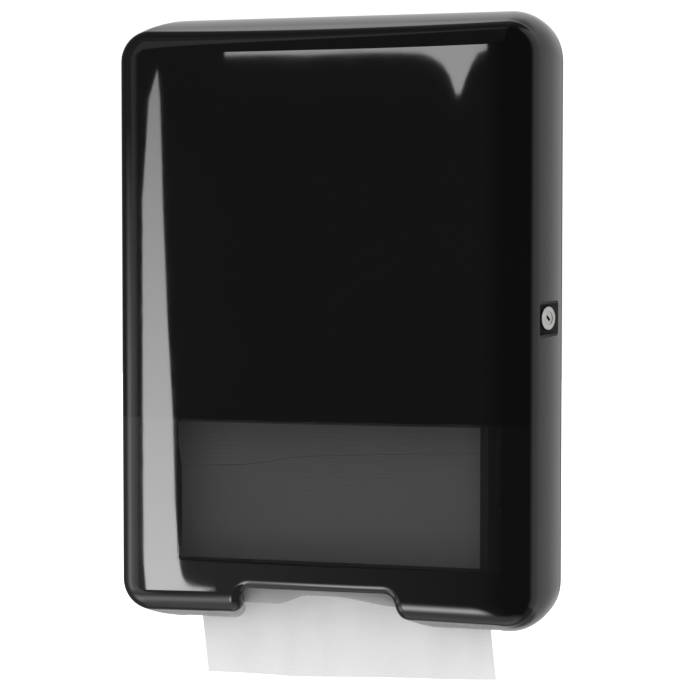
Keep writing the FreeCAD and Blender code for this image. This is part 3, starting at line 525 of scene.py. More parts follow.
@dataclass(frozen=True)
class CoverForm:
    """Outer form of the cover: straight sides, crowned ends, bulged front and a rolled front edge."""

    half_width: float = 0.1535
    half_height: float = 0.222
    depth: float = 0.102
    rear_depth: float = 0.0036
    hinge_rear_depth: float = 0.0062
    hinge_x: float = -0.151
    end_taper: float = 0.014
    taper_depth: float = 0.084
    rear_corner: float = 0.035
    front_corner: float = 0.023
    bulge: float = 1.2
    edge: float = 0.017
    corner_steps: int = 16
    side_steps: int = 44
    end_steps: int = 34
    wall_steps: int = 16
    edge_steps: int = 18
    front_steps: int = 20
    centre_share: float = 0.55
    inner_ring: float = 0.9
    side_turn: float = 17.0
    end_turn: float = 4.5
    turn_full_depth: float = 0.077
    turn_end_depth: float = 0.086
    ring_growth: float = 1.3

    def stations(self) -> list[Triple]:
        """Places round the outline: shares of the straight half-lengths, and the angle of the outward way."""
        runs = [(1, 1, 0), (-1, 1, 90), (-1, -1, 180), (1, -1, 270)]
        places = []
        for index, (fx, fz, start) in enumerate(runs):
            following = runs[(index + 1) % len(runs)]
            for k in range(self.corner_steps):
                places.append((fx, fz, math.radians(start + 90.0 * k / self.corner_steps)))
            steps = self.end_steps if index % 2 == 0 else self.side_steps
            for k in range(steps):
                share = k / steps
                place = (fx + (following[0] - fx) * share, fz + (following[1] - fz) * share)
                places.append((*place, math.radians(start + 90.0)))
        return places + places[:1]

    def wall_point(self, station: Triple, depth: float) -> tuple[Vector, Vector]:
        """Point and outward normal of the wall, as x, depth and z."""
        fx, fz, angle = station
        share = depth / self.taper_depth
        corner = self.rear_corner + (self.front_corner - self.rear_corner) * share
        height = self.half_height - self.end_taper * share ** 2
        ca, sa = math.cos(angle), math.sin(angle)
        x, z = fx * (self.half_width - corner) + corner * ca, fz * (height - corner) + corner * sa
        corner_slope = (self.front_corner - self.rear_corner) / self.taper_depth
        height_slope = -2.0 * self.end_taper * share / self.taper_depth
        slope = -fx * corner_slope * ca + fz * (height_slope - corner_slope) * sa + corner_slope
        return Vector((x, depth, z)), Vector((ca, -slope, sa)).normalized()

    def edge_start(self, station: Triple) -> tuple[float, Vector, Vector, Vector]:
        """Depth where the rolled edge starts, its centre, and its first and last normals."""
        axis_depth = self.depth - self.bulge
        low, high = 0.05, self.depth
        for _ in range(50):
            middle = (low + high) / 2
            point, normal = self.wall_point(station, middle)
            centre = point - normal * self.edge
            reach = math.hypot(centre.x, centre.y - axis_depth)
            low, high = (middle, high) if reach < self.bulge - self.edge else (low, middle)
        last = Vector((centre.x, centre.y - axis_depth, 0.0)).normalized()
        return middle, centre, normal, last

    def ring(self, station: Triple) -> list[tuple[Vector, Vector]]:
        """Points and normals from the rear edge over the rolled edge to the front's innermost ring."""
        start, centre, first, last = self.edge_start(station)
        rear_point, _ = self.wall_point(station, self.rear_depth)
        rear = self.hinge_rear_depth if rear_point.x < self.hinge_x else self.rear_depth
        depths = [rear + (start - rear) * k / self.wall_steps for k in range(self.wall_steps)]
        rows = [self.wall_point(station, depth) for depth in depths]
        for k in range(self.edge_steps + 1):
            way = first.slerp(last, k / self.edge_steps)
            rows.append((centre + way * self.edge, way))
        begin = rows[-1][0]
        for k in range(1, self.front_steps + 1):
            share = self.inner_ring * (k / self.front_steps) ** self.ring_growth
            x = begin.x * (1.0 - share)
            z = begin.z * (1.0 - (1.0 - self.centre_share) * share)
            out = Vector((x, math.sqrt(self.bulge ** 2 - x ** 2), 0.0))
            rows.append((Vector((x, self.depth - self.bulge + out.y, z)), out.normalized()))
        return [(Vector((p.x, -p.y, p.z)), Vector((n.x, -n.y, n.z))) for p, n in rows]

    def surface(self) -> "CoverSurface":
        """The exact outer surface, to take normals from."""
        rings = [self.ring(station) for station in self.stations()]
        along = len(rings[0])
        rows = [row for ring in rings for row in ring]
        faces = []
        for i in range(len(rings) - 1):
            for j in range(along - 1):
                corner = i * along + j
                faces.append((corner, corner + 1, corner + along + 1, corner + along))
        faces.append(tuple(i * along + along - 1 for i in range(len(rings) - 1)))
        return CoverSurface([place for place, _ in rows], [normal for _, normal in rows], faces)

    def shading_normal(self, place: Vector, normal: Vector) -> Vector:
        """Normal turned a little towards the front, as on a wall that is crowned by a hair."""
        depth = -place.y
        share = depth / self.turn_full_depth
        if depth > self.turn_full_depth:
            share = max(0.0, (self.turn_end_depth - depth) / (self.turn_end_depth - self.turn_full_depth))
        turn = math.radians(share * (self.side_turn * normal.x ** 2 + self.end_turn * normal.z ** 2))
        front = Vector((0.0, -1.0, 0.0))
        ahead = front - normal * front.dot(normal)
        if turn < TINY or ahead.length < 0.01:
            return normal
        return normal * math.cos(turn) + ahead.normalized() * math.sin(turn)

    def skin(self, name: str) -> Piece:
        """Outer skin of the whole cover, open at the wall."""
        rings = [self.ring(station) for station in self.stations()]
        around, along = len(rings) - 1, len(rings[0]) - 1
        piece = grid(name, around, along)
        for vertex in piece.data.vertices:
            i = round((vertex.co.x + 1.0) / 2.0 * around)
            j = round((vertex.co.y + 1.0) / 2.0 * along)
            vertex.co = rings[i][j][0]
        edit(piece)
        select_whole()
        bpy.ops.mesh.remove_doubles(threshold=TINY * 10)
        select_edges(piece, lambda e: e.is_boundary and all(v.co.y < -self.depth / 2.0 for v in e.verts))
        bpy.ops.mesh.edge_face_add()
        select_whole()
        bpy.ops.mesh.normals_make_consistent(inside=False)
        leave_edit()
        if max(piece.data.polygons, key=lambda face: face.area).normal.y > 0.0:
            edit(piece)
            select_whole()
            bpy.ops.mesh.flip_normals()
            leave_edit()
        return piece


@dataclass
class CoverSurface:
    """Exact outer surface of the cover: its points, their normals and its faces."""

    places: list[Vector]
    normals: list[Vector]
    faces: list[tuple[int, ...]]
    tree: BVHTree = field(init=False)

    def __post_init__(self) -> None:
        """Make the search tree."""
        self.tree = BVHTree.FromPolygons(self.places, self.faces)

    def nearest(self, place: Vector) -> tuple[Vector, float]:
        """Normal of the surface beside a place, and the distance to it."""
        hit, _, index, distance = self.tree.find_nearest(place)
        face = self.faces[index]
        shares = poly_3d_calc([self.places[i] for i in face], hit)
        normal = sum((self.normals[i] * share for i, share in zip(face, shares)), Vector())
        return (normal.normalized() if normal.length > 0.5 else self.normals[face[0]]), distance


def place_key(place: Vector) -> Key:
    """Place in tenths of a micrometre, to find it again."""
    return tuple(round(part * 1e7) for part in place)


def shade_by_surface(piece: Piece, form: CoverForm, surface: CoverSurface, rolled: dict[Key, Vector]) -> None:
    """Give a piece's outer faces the exact surface's normals, and a rolled rim its own.

    Args:
        piece: part of the cover, with its wall thickness.
        form: form that turns the shading normals.
        surface: exact outer surface.
        rolled: normals of the rim's points, empty for no rim.
    """
    mesh = piece.data
    known: dict[int, Vector] = {}
    for vertex in mesh.vertices:
        rim = rolled.get(place_key(vertex.co))
        if rim is not None:
            known[vertex.index] = rim
            continue
        normal, distance = surface.nearest(vertex.co)
        if distance < CLOSE:
            known[vertex.index] = form.shading_normal(vertex.co, normal)
    given = [Vector()] * len(mesh.loops)
    for face in mesh.polygons:
        if all(i in known for i in face.vertices):
            for loop, index in zip(face.loop_indices, face.vertices):
                given[loop] = known[index]
    mesh.normals_split_custom_set(given)


def keep_side(piece: Piece, height: float, above: bool) -> None:
    """Cut a piece at a height and keep one side of it."""
    edit(piece)
    slice_whole((0.0, 0.0, height), (0.0, 0.0, -1.0 if above else 1.0), clear_outer=True, clear_inner=False)
    leave_edit()


@dataclass
class UpperCover:
    """Opaque upper part of the cover, with the recess cut into its right wall."""

    form: CoverForm
    surface: CoverSurface
    finishes: Finishes
    recess_depths: Point = (0.014, 0.077)
    recess_z: float = 0.0035
    recess_half_height: float = 0.0125
    recess_corner: float = 0.0045
    cut_from_x: float = 0.147
    cut_reach: float = 0.012
    side_wall_x: float = 0.151

    def recess_outline(self) -> list[Point]:
        """Outline of the recess as y and z."""
        near, far = -self.recess_depths[1], -self.recess_depths[0]
        low, high = self.recess_z - self.recess_half_height, self.recess_z + self.recess_half_height
        r = self.recess_corner
        points = arc((far - r, high - r), r, 0, 90, 6) + arc((near + r, high - r), r, 90, 180, 6)
        return points + arc((near + r, low + r), r, 180, 270, 6) + arc((far - r, low + r), r, 270, 360, 6)

    def build(self) -> Piece:
        """Model the upper cover and let it stand for its node."""
        piece = self.form.skin("upper_cover")
        keep_side(piece, SEAM_Z, above=True)
        outline = self.recess_outline()
        loop = [Vector((self.cut_from_x, y, z)) for y, z in outline]
        push = Vector((self.cut_reach, 0.0, 0.0))
        cut_opening(piece, loop, push, lambda c: c.x > self.side_wall_x and inside(outline, c.y, c.z))
        thicken(piece, WALL)
        put_finish(piece, self.finishes.made[Slot.GLOSS_BLACK])
        smooth(piece)
        shade_by_surface(piece, self.form, self.surface, {})
        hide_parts("cover_shell")
        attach(piece, Body.COVER.value)
        return piece


@dataclass
class Window:
    """Smoked lower part of the cover, with the notch, its rolled rim and the lap behind the upper part."""

    form: CoverForm
    surface: CoverSurface
    finishes: Finishes
    clear_to_z: float = -0.1695
    clear_left: float = -0.1052
    clear_right: float = 0.131
    clear_from_depth: float = 0.088
    notch_centre: float = -0.0013
    notch_half_width: float = 0.0554
    notch_top: float = -0.188
    notch_foot: float = -0.2082
    notch_slant: float = 0.0016
    foot_spread: float = 44.0
    corner: float = 0.007
    foot: float = 0.0087
    rim: float = 0.008
    rim_steps: int = 9
    rim_return: float = 0.0005
    mouth_half_width: float = 0.122
    mouth_depth: float = 0.058
    lap_height: float = 0.007
    lap_overlap: float = 0.002
    lap_wall: float = 0.0014
    lap_gap: float = 0.00005
    lap_ends_before: Point = (-0.14, -0.041)
    underside_slope: float = -0.6
    underside_from: Point = (-0.075, -0.195)
    cut_from_y: float = -0.0570
    cut_reach: float = 0.06
    flare_length: float = 0.06
    least_step: float = 0.0005
    line_gap: float = 2e-5
    rim_passes: int = 4
    rolled: dict[Key, Vector] = field(default_factory=dict)

    def notch_outline(self, grow: float) -> list[Point]:
        """Outline of the notch in the front view, grown outwards, closed below the cover."""
        side = Vector((self.notch_slant, self.notch_foot - self.notch_top)).normalized()
        spread = math.radians(self.foot_spread)
        flare = Vector((math.sin(spread), -math.cos(spread)))
        side_out = Vector((-side.y, side.x))
        flare_out = Vector((-flare.y, flare.x))
        top = Vector((self.notch_half_width, self.notch_top))
        foot = Vector((self.notch_half_width + self.notch_slant, self.notch_foot))
        up = Vector((0.0, 1.0))
        top = top + (up + side_out) * (grow / (1.0 + up.dot(side_out)))
        foot = foot + (side_out + flare_out) * (grow / (1.0 + side_out.dot(flare_out)))
        end = foot + flare * self.flare_length
        right = self.rounded(Vector((0.0, top.y)), top, foot, self.corner + grow, 10)
        right += self.rounded(top, foot, end, self.foot - grow, 6) + [(end.x, end.y)]
        left = [(-x, z) for x, z in reversed(right)]
        return [(self.notch_centre + x, z) for x, z in right + left]

    @staticmethod
    def rounded(before: Vector, corner: Vector, after: Vector, radius: float, steps: int) -> list[Point]:
        """Points of the arc that rounds a corner between two lines."""
        back = (before - corner).normalized()
        on = (after - corner).normalized()
        half = back.angle(on) / 2.0
        centre = corner + (back + on).normalized() * (radius / math.sin(half))
        first = corner + back * (radius / math.tan(half)) - centre
        last = corner + on * (radius / math.tan(half)) - centre
        return [tuple(centre + first.slerp(last, k / steps) * radius) for k in range(steps + 1)]

    def cut_mouth(self, piece: Piece) -> None:
        """Open the bottom wall near the wall plate, where the towel passes."""
        edit(piece)
        room = self.mouth_half_width

        def underside(face: bmesh.types.BMFace) -> bool:
            """True for a face of the bottom wall."""
            centre = face.calc_center_median()
            front_y, top_z = self.underside_from
            return face.normal.z < self.underside_slope and centre.y > front_y and centre.z < top_z

        ends = [((x, 0.0, 0.0), (1.0, 0.0, 0.0)) for x in (room, -room)]
        for place, way in [((0.0, -self.mouth_depth, 0.0), (0.0, 1.0, 0.0))] + ends:
            select_faces(piece, underside)
            bpy.ops.mesh.bisect(plane_co=place, plane_no=way)
        delete_faces(piece, lambda f: underside(f) and self.in_mouth(f.calc_center_median()))
        leave_edit()

    def in_mouth(self, centre: Vector) -> bool:
        """True for a place in the mouth, seen from below."""
        return abs(centre.x) < self.mouth_half_width and centre.y > -self.mouth_depth

    def rim_chain(self, piece: Piece) -> list[Vector]:
        """In edit mode, select the cut edge along the notch, evened out, and give its points in order."""
        outline = self.notch_outline(self.rim)
        select_edges(piece, lambda e: e.is_boundary and all(self.on_outline(v.co, outline) for v in e.verts))
        bpy.ops.mesh.remove_doubles(threshold=self.least_step)
        mesh = bmesh.from_edit_mesh(piece.data)
        mesh.verts.index_update()
        beside: dict[int, list[bmesh.types.BMVert]] = {}
        for rim_edge in mesh.edges:
            if rim_edge.select and rim_edge.is_boundary:
                for near, far in (rim_edge.verts, reversed(rim_edge.verts)):
                    beside.setdefault(near.index, []).append(far)
        mesh.verts.ensure_lookup_table()
        ends = [index for index, near in beside.items() if len(near) == 1]
        chain = [mesh.verts[min(ends, key=lambda index: mesh.verts[index].co.x)]]
        while len(chain) < len(beside):
            onward = [v for v in beside[chain[-1].index] if len(chain) < 2 or v != chain[-2]]
            if not onward:
                break
            chain.append(onward[0])
        LOG.info("notch rim: %d of %d points in line, %d ends", len(chain), len(beside), len(ends))
        return [vertex.co.copy() for vertex in chain]

    def roll_rim(self, piece: Piece) -> None:
        """Roll the skin inwards along the notch's cut edge."""
        edit(piece)
        chain = self.rim_chain(piece)
        normals = [self.surface.nearest(place)[0] for place in chain]
        outs = []
        for k, (place, normal) in enumerate(zip(chain, normals)):
            along = (chain[min(k + 1, len(chain) - 1)] - chain[max(k - 1, 0)]).normalized()
            out = along.cross(normal).normalized()
            inward = Vector((self.notch_centre, place.y, self.notch_foot - 0.01)) - place
            outs.append(out if out.dot(inward) > 0.0 else -out)
        for _ in range(self.rim_passes):
            sums = [a + b * 2.0 + c for a, b, c in zip(outs[:1] + outs, outs, outs[1:] + outs[-1:])]
            outs = [(out - n * out.dot(n)).normalized() for out, n in zip(sums, normals)]
        frames = {place_key(p): (p, out, n) for p, out, n in zip(chain, outs, normals)}
        self.rolled.update({place_key(p): n for p, n in zip(chain, normals)})
        turns = [math.pi / 2.0 * k / self.rim_steps for k in range(1, self.rim_steps + 1)]
        places = [(self.rim * math.sin(t), self.rim * (1.0 - math.cos(t)), t) for t in turns]
        places.append((self.rim, self.rim + self.rim_return, turns[-1]))
        for across, back, turn in places:
            bpy.ops.mesh.extrude_edges_move(TRANSFORM_OT_translate={"value": (0.0, 0.0, 0.0)})
            mesh = bmesh.from_edit_mesh(piece.data)
            moved = {}
            for vertex in mesh.verts:
                if vertex.select:
                    start, out, normal = frames[place_key(vertex.co)]
                    vertex.co = start + out * across - normal * back
                    moved[place_key(vertex.co)] = (start, out, normal)
                    self.rolled[place_key(vertex.co)] = normal * math.cos(turn) + out * math.sin(turn)
            frames = moved
            bmesh.update_edit_mesh(piece.data)
        leave_edit()

    def is_clear(self, place: Vector) -> bool:
        """True for a place on the front where the wall is only smoked, with no painted shade behind it;
        elsewhere the wall is opaque and dark, as painted shade of the interior.
        """
        between = self.clear_left < place.x < self.clear_right
        return place.z > self.clear_to_z and between and place.y < -self.clear_from_depth

    def on_outline(self, place: Vector, outline: list[Point]) -> bool:
        """True for a point on the cut along the notch, away from the mouth's edge."""
        if place.y > CLOSE - self.mouth_depth:
            return False
        for (ax, az), (bx, bz) in zip(outline, outline[1:] + outline[:1]):
            run = Vector((bx - ax, bz - az))
            off = Vector((place.x - ax, place.z - az))
            if (off - run * share_of(off.dot(run), 0.0, run.length_squared)).length < self.line_gap:
                return True
        return False

    def build(self) -> Piece:
        """Model the window and let it stand for its node."""
        piece = self.form.skin("smoked_window")
        keep_side(piece, SEAM_Z, above=False)
        self.cut_mouth(piece)
        outline = self.notch_outline(self.rim)
        loop = [Vector((x, self.cut_from_y, z)) for x, z in outline]
        push, behind = Vector((0.0, -self.cut_reach, 0.0)), self.cut_from_y - self.least_step
        cut_opening(piece, loop, push, lambda c: c.y < behind and inside(outline, c.x, c.z))
        self.roll_rim(piece)
        edit(piece)
        slice_whole((0.0, 0.0, self.clear_to_z), (0.0, 0.0, 1.0))
        for x in (self.clear_left, self.clear_right):
            slice_whole((x, 0.0, 0.0), (1.0, 0.0, 0.0))
        leave_edit()
        finishes = [self.finishes.made[key] for key in (Slot.SMOKED_WINDOW, "inside", "edge", "backing")]
        put_finish(piece, *finishes)
        thicken(piece, WALL, material_offset=1)
        lap = self.lap()
        put_finish(lap, *finishes)
        join(piece, lap)
        # Outside the clear part the wall takes the opaque finishes: painted shade of the interior.
        for face in piece.data.polygons:
            if not self.is_clear(face.center):
                face.material_index += 2
        smooth(piece)
        shade_by_surface(piece, self.form, self.surface, self.rolled)
        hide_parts("window_panel")
        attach(piece, Body.COVER.value)
        return piece

    def lap(self) -> Piece:
        """Thin upper edge of the window, which stands behind the upper cover."""
        piece = self.form.skin("window_lap")
        keep_side(piece, SEAM_Z - self.lap_overlap, above=True)
        keep_side(piece, SEAM_Z + self.lap_height, above=False)
        edit(piece)
        end_x, end_y = self.lap_ends_before
        delete_faces(piece, lambda f: f.calc_center_median().x < end_x and f.calc_center_median().y > end_y)
        select_whole()
        bpy.ops.transform.shrink_fatten(value=-(WALL + self.lap_gap))
        leave_edit()
        thicken(piece, self.lap_wall)
        return piece


@dataclass
class DispensingLip:
    """Pale plate behind the notch, whose lower edge arches over the towel."""

    finishes: Finishes
    half_width: float = 0.0635
    top_z: float = -0.1735
    low_left: float = -0.1999
    low_right: float = -0.1983
    crown_z: float = -0.1932
    left_slope: Point = (-0.036, -0.012)
    right_slope: Point = (0.006, 0.054)
    corner: float = 0.003
    face_depth: float = 0.082
    wall: float = 0.002
    edge_round: float = 0.0004
    steps: int = 24

    def lower_edge(self) -> list[Point]:
        """Points of the arched edge from left to right."""
        points = []
        sides = ((self.left_slope, self.low_left, True), (self.right_slope, self.low_right, False))
        for (start, end), low, rising in sides:
            for k in range(self.steps + 1):
                share = k / self.steps
                ease = share * share * (3.0 - 2.0 * share)
                height = ease if rising else 1.0 - ease
                points.append((start + (end - start) * share, low + (self.crown_z - low) * height))
        return points

    def outline(self) -> list[Point]:
        """Outline of the plate in the front view."""
        w, r = self.half_width, self.corner
        left = arc((-w + r, self.low_left + r), r, 180, 270, 8)
        right = arc((w - r, self.low_right + r), r, 270, 360, 8)
        return left + self.lower_edge() + right + [(w, self.top_z), (-w, self.top_z)]

    def build(self) -> Piece:
        """Model the plate and let it stand for its node."""
        piece = polygon("arched_lip", [(x, -self.face_depth, z) for x, z in self.outline()])
        edit(piece)
        select_whole()
        bpy.ops.mesh.extrude_region_move(TRANSFORM_OT_translate={"value": (0.0, self.wall, 0.0)})
        select_whole()
        bpy.ops.mesh.normals_make_consistent(inside=False)
        leave_edit()
        limit = {"limit_method": "ANGLE", "angle_limit": math.radians(60.0)}
        apply_modifier(piece, "BEVEL", width=self.edge_round, segments=2, **limit)
        put_finish(piece, self.finishes.made[Slot.GREY_MOULDING])
        smooth(piece)
        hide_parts("dispensing_lip")
        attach(piece, Body.CHASSIS.value)
        return piece


# ---- towels


@dataclass(frozen=True)
class BundleStep:
    """Where the two bundles meet: a soft step that climbs to the right."""

    places: tuple[float, ...] = (-0.114, -0.063, -0.045, -0.029, -0.012, 0.067, 0.114)
    heights: tuple[float, ...] = (-0.0073, -0.0052, -0.0030, 0.0008, 0.0021, 0.0056, 0.0070)

    def rise(self, x: float) -> float:
        """Height of the joint above its mean height at a place across."""
        x = max(self.places[0], min(self.places[-1], x))
        k = max(1, bisect_left(self.places, x))
        share = (x - self.places[k - 1]) / (self.places[k] - self.places[k - 1])
        return self.heights[k - 1] + (self.heights[k] - self.heights[k - 1]) * share


@dataclass
class TowelStack:
    """One bundle of folded towels, each a slab with rounded folds, at a soft joint with the other bundle."""

    finishes: Finishes
    node: str
    seed: int
    joint_at_top: bool
    left_trim: float
    right_trim: float = 0.0
    front_trim: float = 0.006
    lean: float = 0.0
    lean_from_z: float = -0.097
    lean_to_z: float = -0.070
    thickness: float = 0.0009
    play: float = 0.0001
    fold_share: float = 0.22
    slab_share: float = 0.99
    step: BundleStep = field(default_factory=BundleStep)
    columns: int = 14

    def build(self) -> Piece:
        """Model one folded towel, copy it up the bundle, join the copies and bend them to the joint."""
        low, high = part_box(self.node)
        left, right, front = low[0] + self.left_trim, high[0] - self.right_trim, low[1] + self.front_trim
        height = high[2] - low[2]
        count = round(height / self.thickness)
        pitch = height / count
        chance = random.Random(self.seed)
        size = (right - left - 2 * self.play, high[1] - front - 2 * self.play, pitch * self.slab_share)
        centre = ((left + right) / 2, (front + high[1]) / 2)
        first = self.folded_towel(size)
        copies = []
        for k in range(count):
            copy = first.copy()
            copy.data = first.data.copy()
            bpy.context.scene.collection.objects.link(copy)
            z = low[2] + pitch * (k + 0.5)
            leaned = self.lean * share_of(z, self.lean_from_z, self.lean_to_z)
            across = chance.uniform(-self.play, self.play) + leaned
            copy.location = (centre[0] + across, centre[1] + chance.uniform(-self.play, self.play), z)
            copies.append(copy)
        bpy.data.objects.remove(first)
        join(*copies)
        apply_place(copies[0])
        piece = newest(self.node.replace("bundle", "stock"))
        for vertex in piece.data.vertices:
            share = (vertex.co.z - low[2]) / height
            near = share if self.joint_at_top else 1.0 - share
            vertex.co.z += self.step.rise(vertex.co.x) * max(0.0, near) ** 2
        put_finish(piece, self.finishes.made[Slot.PAPER])
        smooth(piece, 50.0)
        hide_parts(self.node)
        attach(piece, Body.CHASSIS.value)
        return piece

    def folded_towel(self, size: Triple) -> Piece:
        """A folded towel, lying flat, its long edges rounded as folds."""
        deselect_all()
        bpy.ops.mesh.primitive_cube_add(size=1.0)
        piece = newest("folded_towel")
        piece.scale = size
        apply_place(piece)
        edit(piece)
        for k in range(1, self.columns):
            slice_whole((size[0] * (k / self.columns - 0.5), 0.0, 0.0), (1.0, 0.0, 0.0))

        def folded(side: bmesh.types.BMEdge) -> bool:
            """True for an edge along the front or the rear."""
            a, b = (vertex.co for vertex in side.verts)
            ended = min(abs(a.y), abs(b.y)) > size[1] * 0.49
            return ended and abs(a.y - b.y) < TINY and abs(a.z - b.z) < TINY

        select_edges(piece, folded)
        bpy.ops.mesh.bevel(offset=size[2] * self.fold_share, segments=1, profile=0.5)
        leave_edit()
        return piece


@dataclass
class LeadingTowel:
    """The towel that hangs out of the slot: one thin sheet with soft waves, drawn a little to the right."""

    finishes: Finishes
    left: float = -0.1084
    right: float = 0.1099
    lean: float = 0.11
    lean_from_z: float = -0.205
    low_left: float = -0.2594
    low_right: float = -0.2540
    level_share: float = 0.3
    wave: float = 0.00117
    waves: int = 4
    ripple: float = 0.25
    ripple_turns: Point = (23.0, 4.0)
    thickness: float = 0.0004
    across_steps: int = 180
    down_steps: int = 60

    def low_edge(self, across: float) -> float:
        """Height of the lower edge at a share of the width."""
        return self.low_left + (self.low_right - self.low_left) * share_of(across, self.level_share, 1.0)

    def build(self) -> Piece:
        """Model the sheet and let it stand for its node."""
        low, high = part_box("leading_towel")
        middle_y = (low[1] + high[1]) / 2
        piece = grid("hanging_towel", self.across_steps, self.down_steps)
        for vertex in piece.data.vertices:
            across, down = (vertex.co.x + 1.0) / 2.0, (1.0 - vertex.co.y) / 2.0
            z = high[2] + (self.low_edge(across) - high[2]) * down
            x = self.left + (self.right - self.left) * across + self.lean * max(0.0, self.lean_from_z - z)
            vertex.co = (x, middle_y + self.sway(across, down), z)
        apply_modifier(piece, "SOLIDIFY", thickness=self.thickness, offset=0.0)
        put_finish(piece, self.finishes.made[Slot.PAPER])
        smooth(piece, 60.0)
        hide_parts("leading_towel")
        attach(piece, Body.LEAD_TOWEL.value)
        return piece

    def sway(self, across: float, down: float) -> float:
        """How far the sheet stands off its middle plane."""
        wide = math.sin(math.pi * self.waves * across) * (1.0 - self.ripple * (1.0 - down))
        fine = math.sin(self.ripple_turns[0] * across + self.ripple_turns[1] * down) * self.ripple * down
        return self.wave * (wide + fine)


# ---- light, floor and camera


@dataclass(frozen=True)
class Card:
    """A glowing card that only shows in gloss.

    Its corners are given as azimuths (0 at the front, negative to the left) and elevations from the target.
    """

    name: str
    corners: tuple[Point, ...]
    distance: float
    low: float
    high: float

    def build(self, target: Vector) -> Piece:
        """Make the card, with its glow going from the low strength at its foot to the high one at its head."""
        piece = polygon(self.name, [target + direction(*corner) * self.distance for corner in self.corners])
        heights = [vertex.co.z for vertex in piece.data.vertices]
        material, graph = new_material(self.name + "_glow")
        height = graph.add("SeparateXYZ", {0: graph.place()}).outputs["Z"]
        strength = graph.ramp(height, min(heights), max(heights), self.low, self.high)
        graph.finish("Emission", {"Color": grey(1.0), "Strength": strength})
        put_finish(piece, material)
        piece.visible_camera = piece.visible_shadow = piece.visible_diffuse = False
        return piece


def direction(azimuth: float, elevation: float) -> Vector:
    """Unit vector at an azimuth from the front (negative to the left) and an elevation."""
    a, e = math.radians(azimuth), math.radians(elevation)
    return Vector((math.sin(a) * math.cos(e), -math.cos(a) * math.cos(e), math.sin(e)))


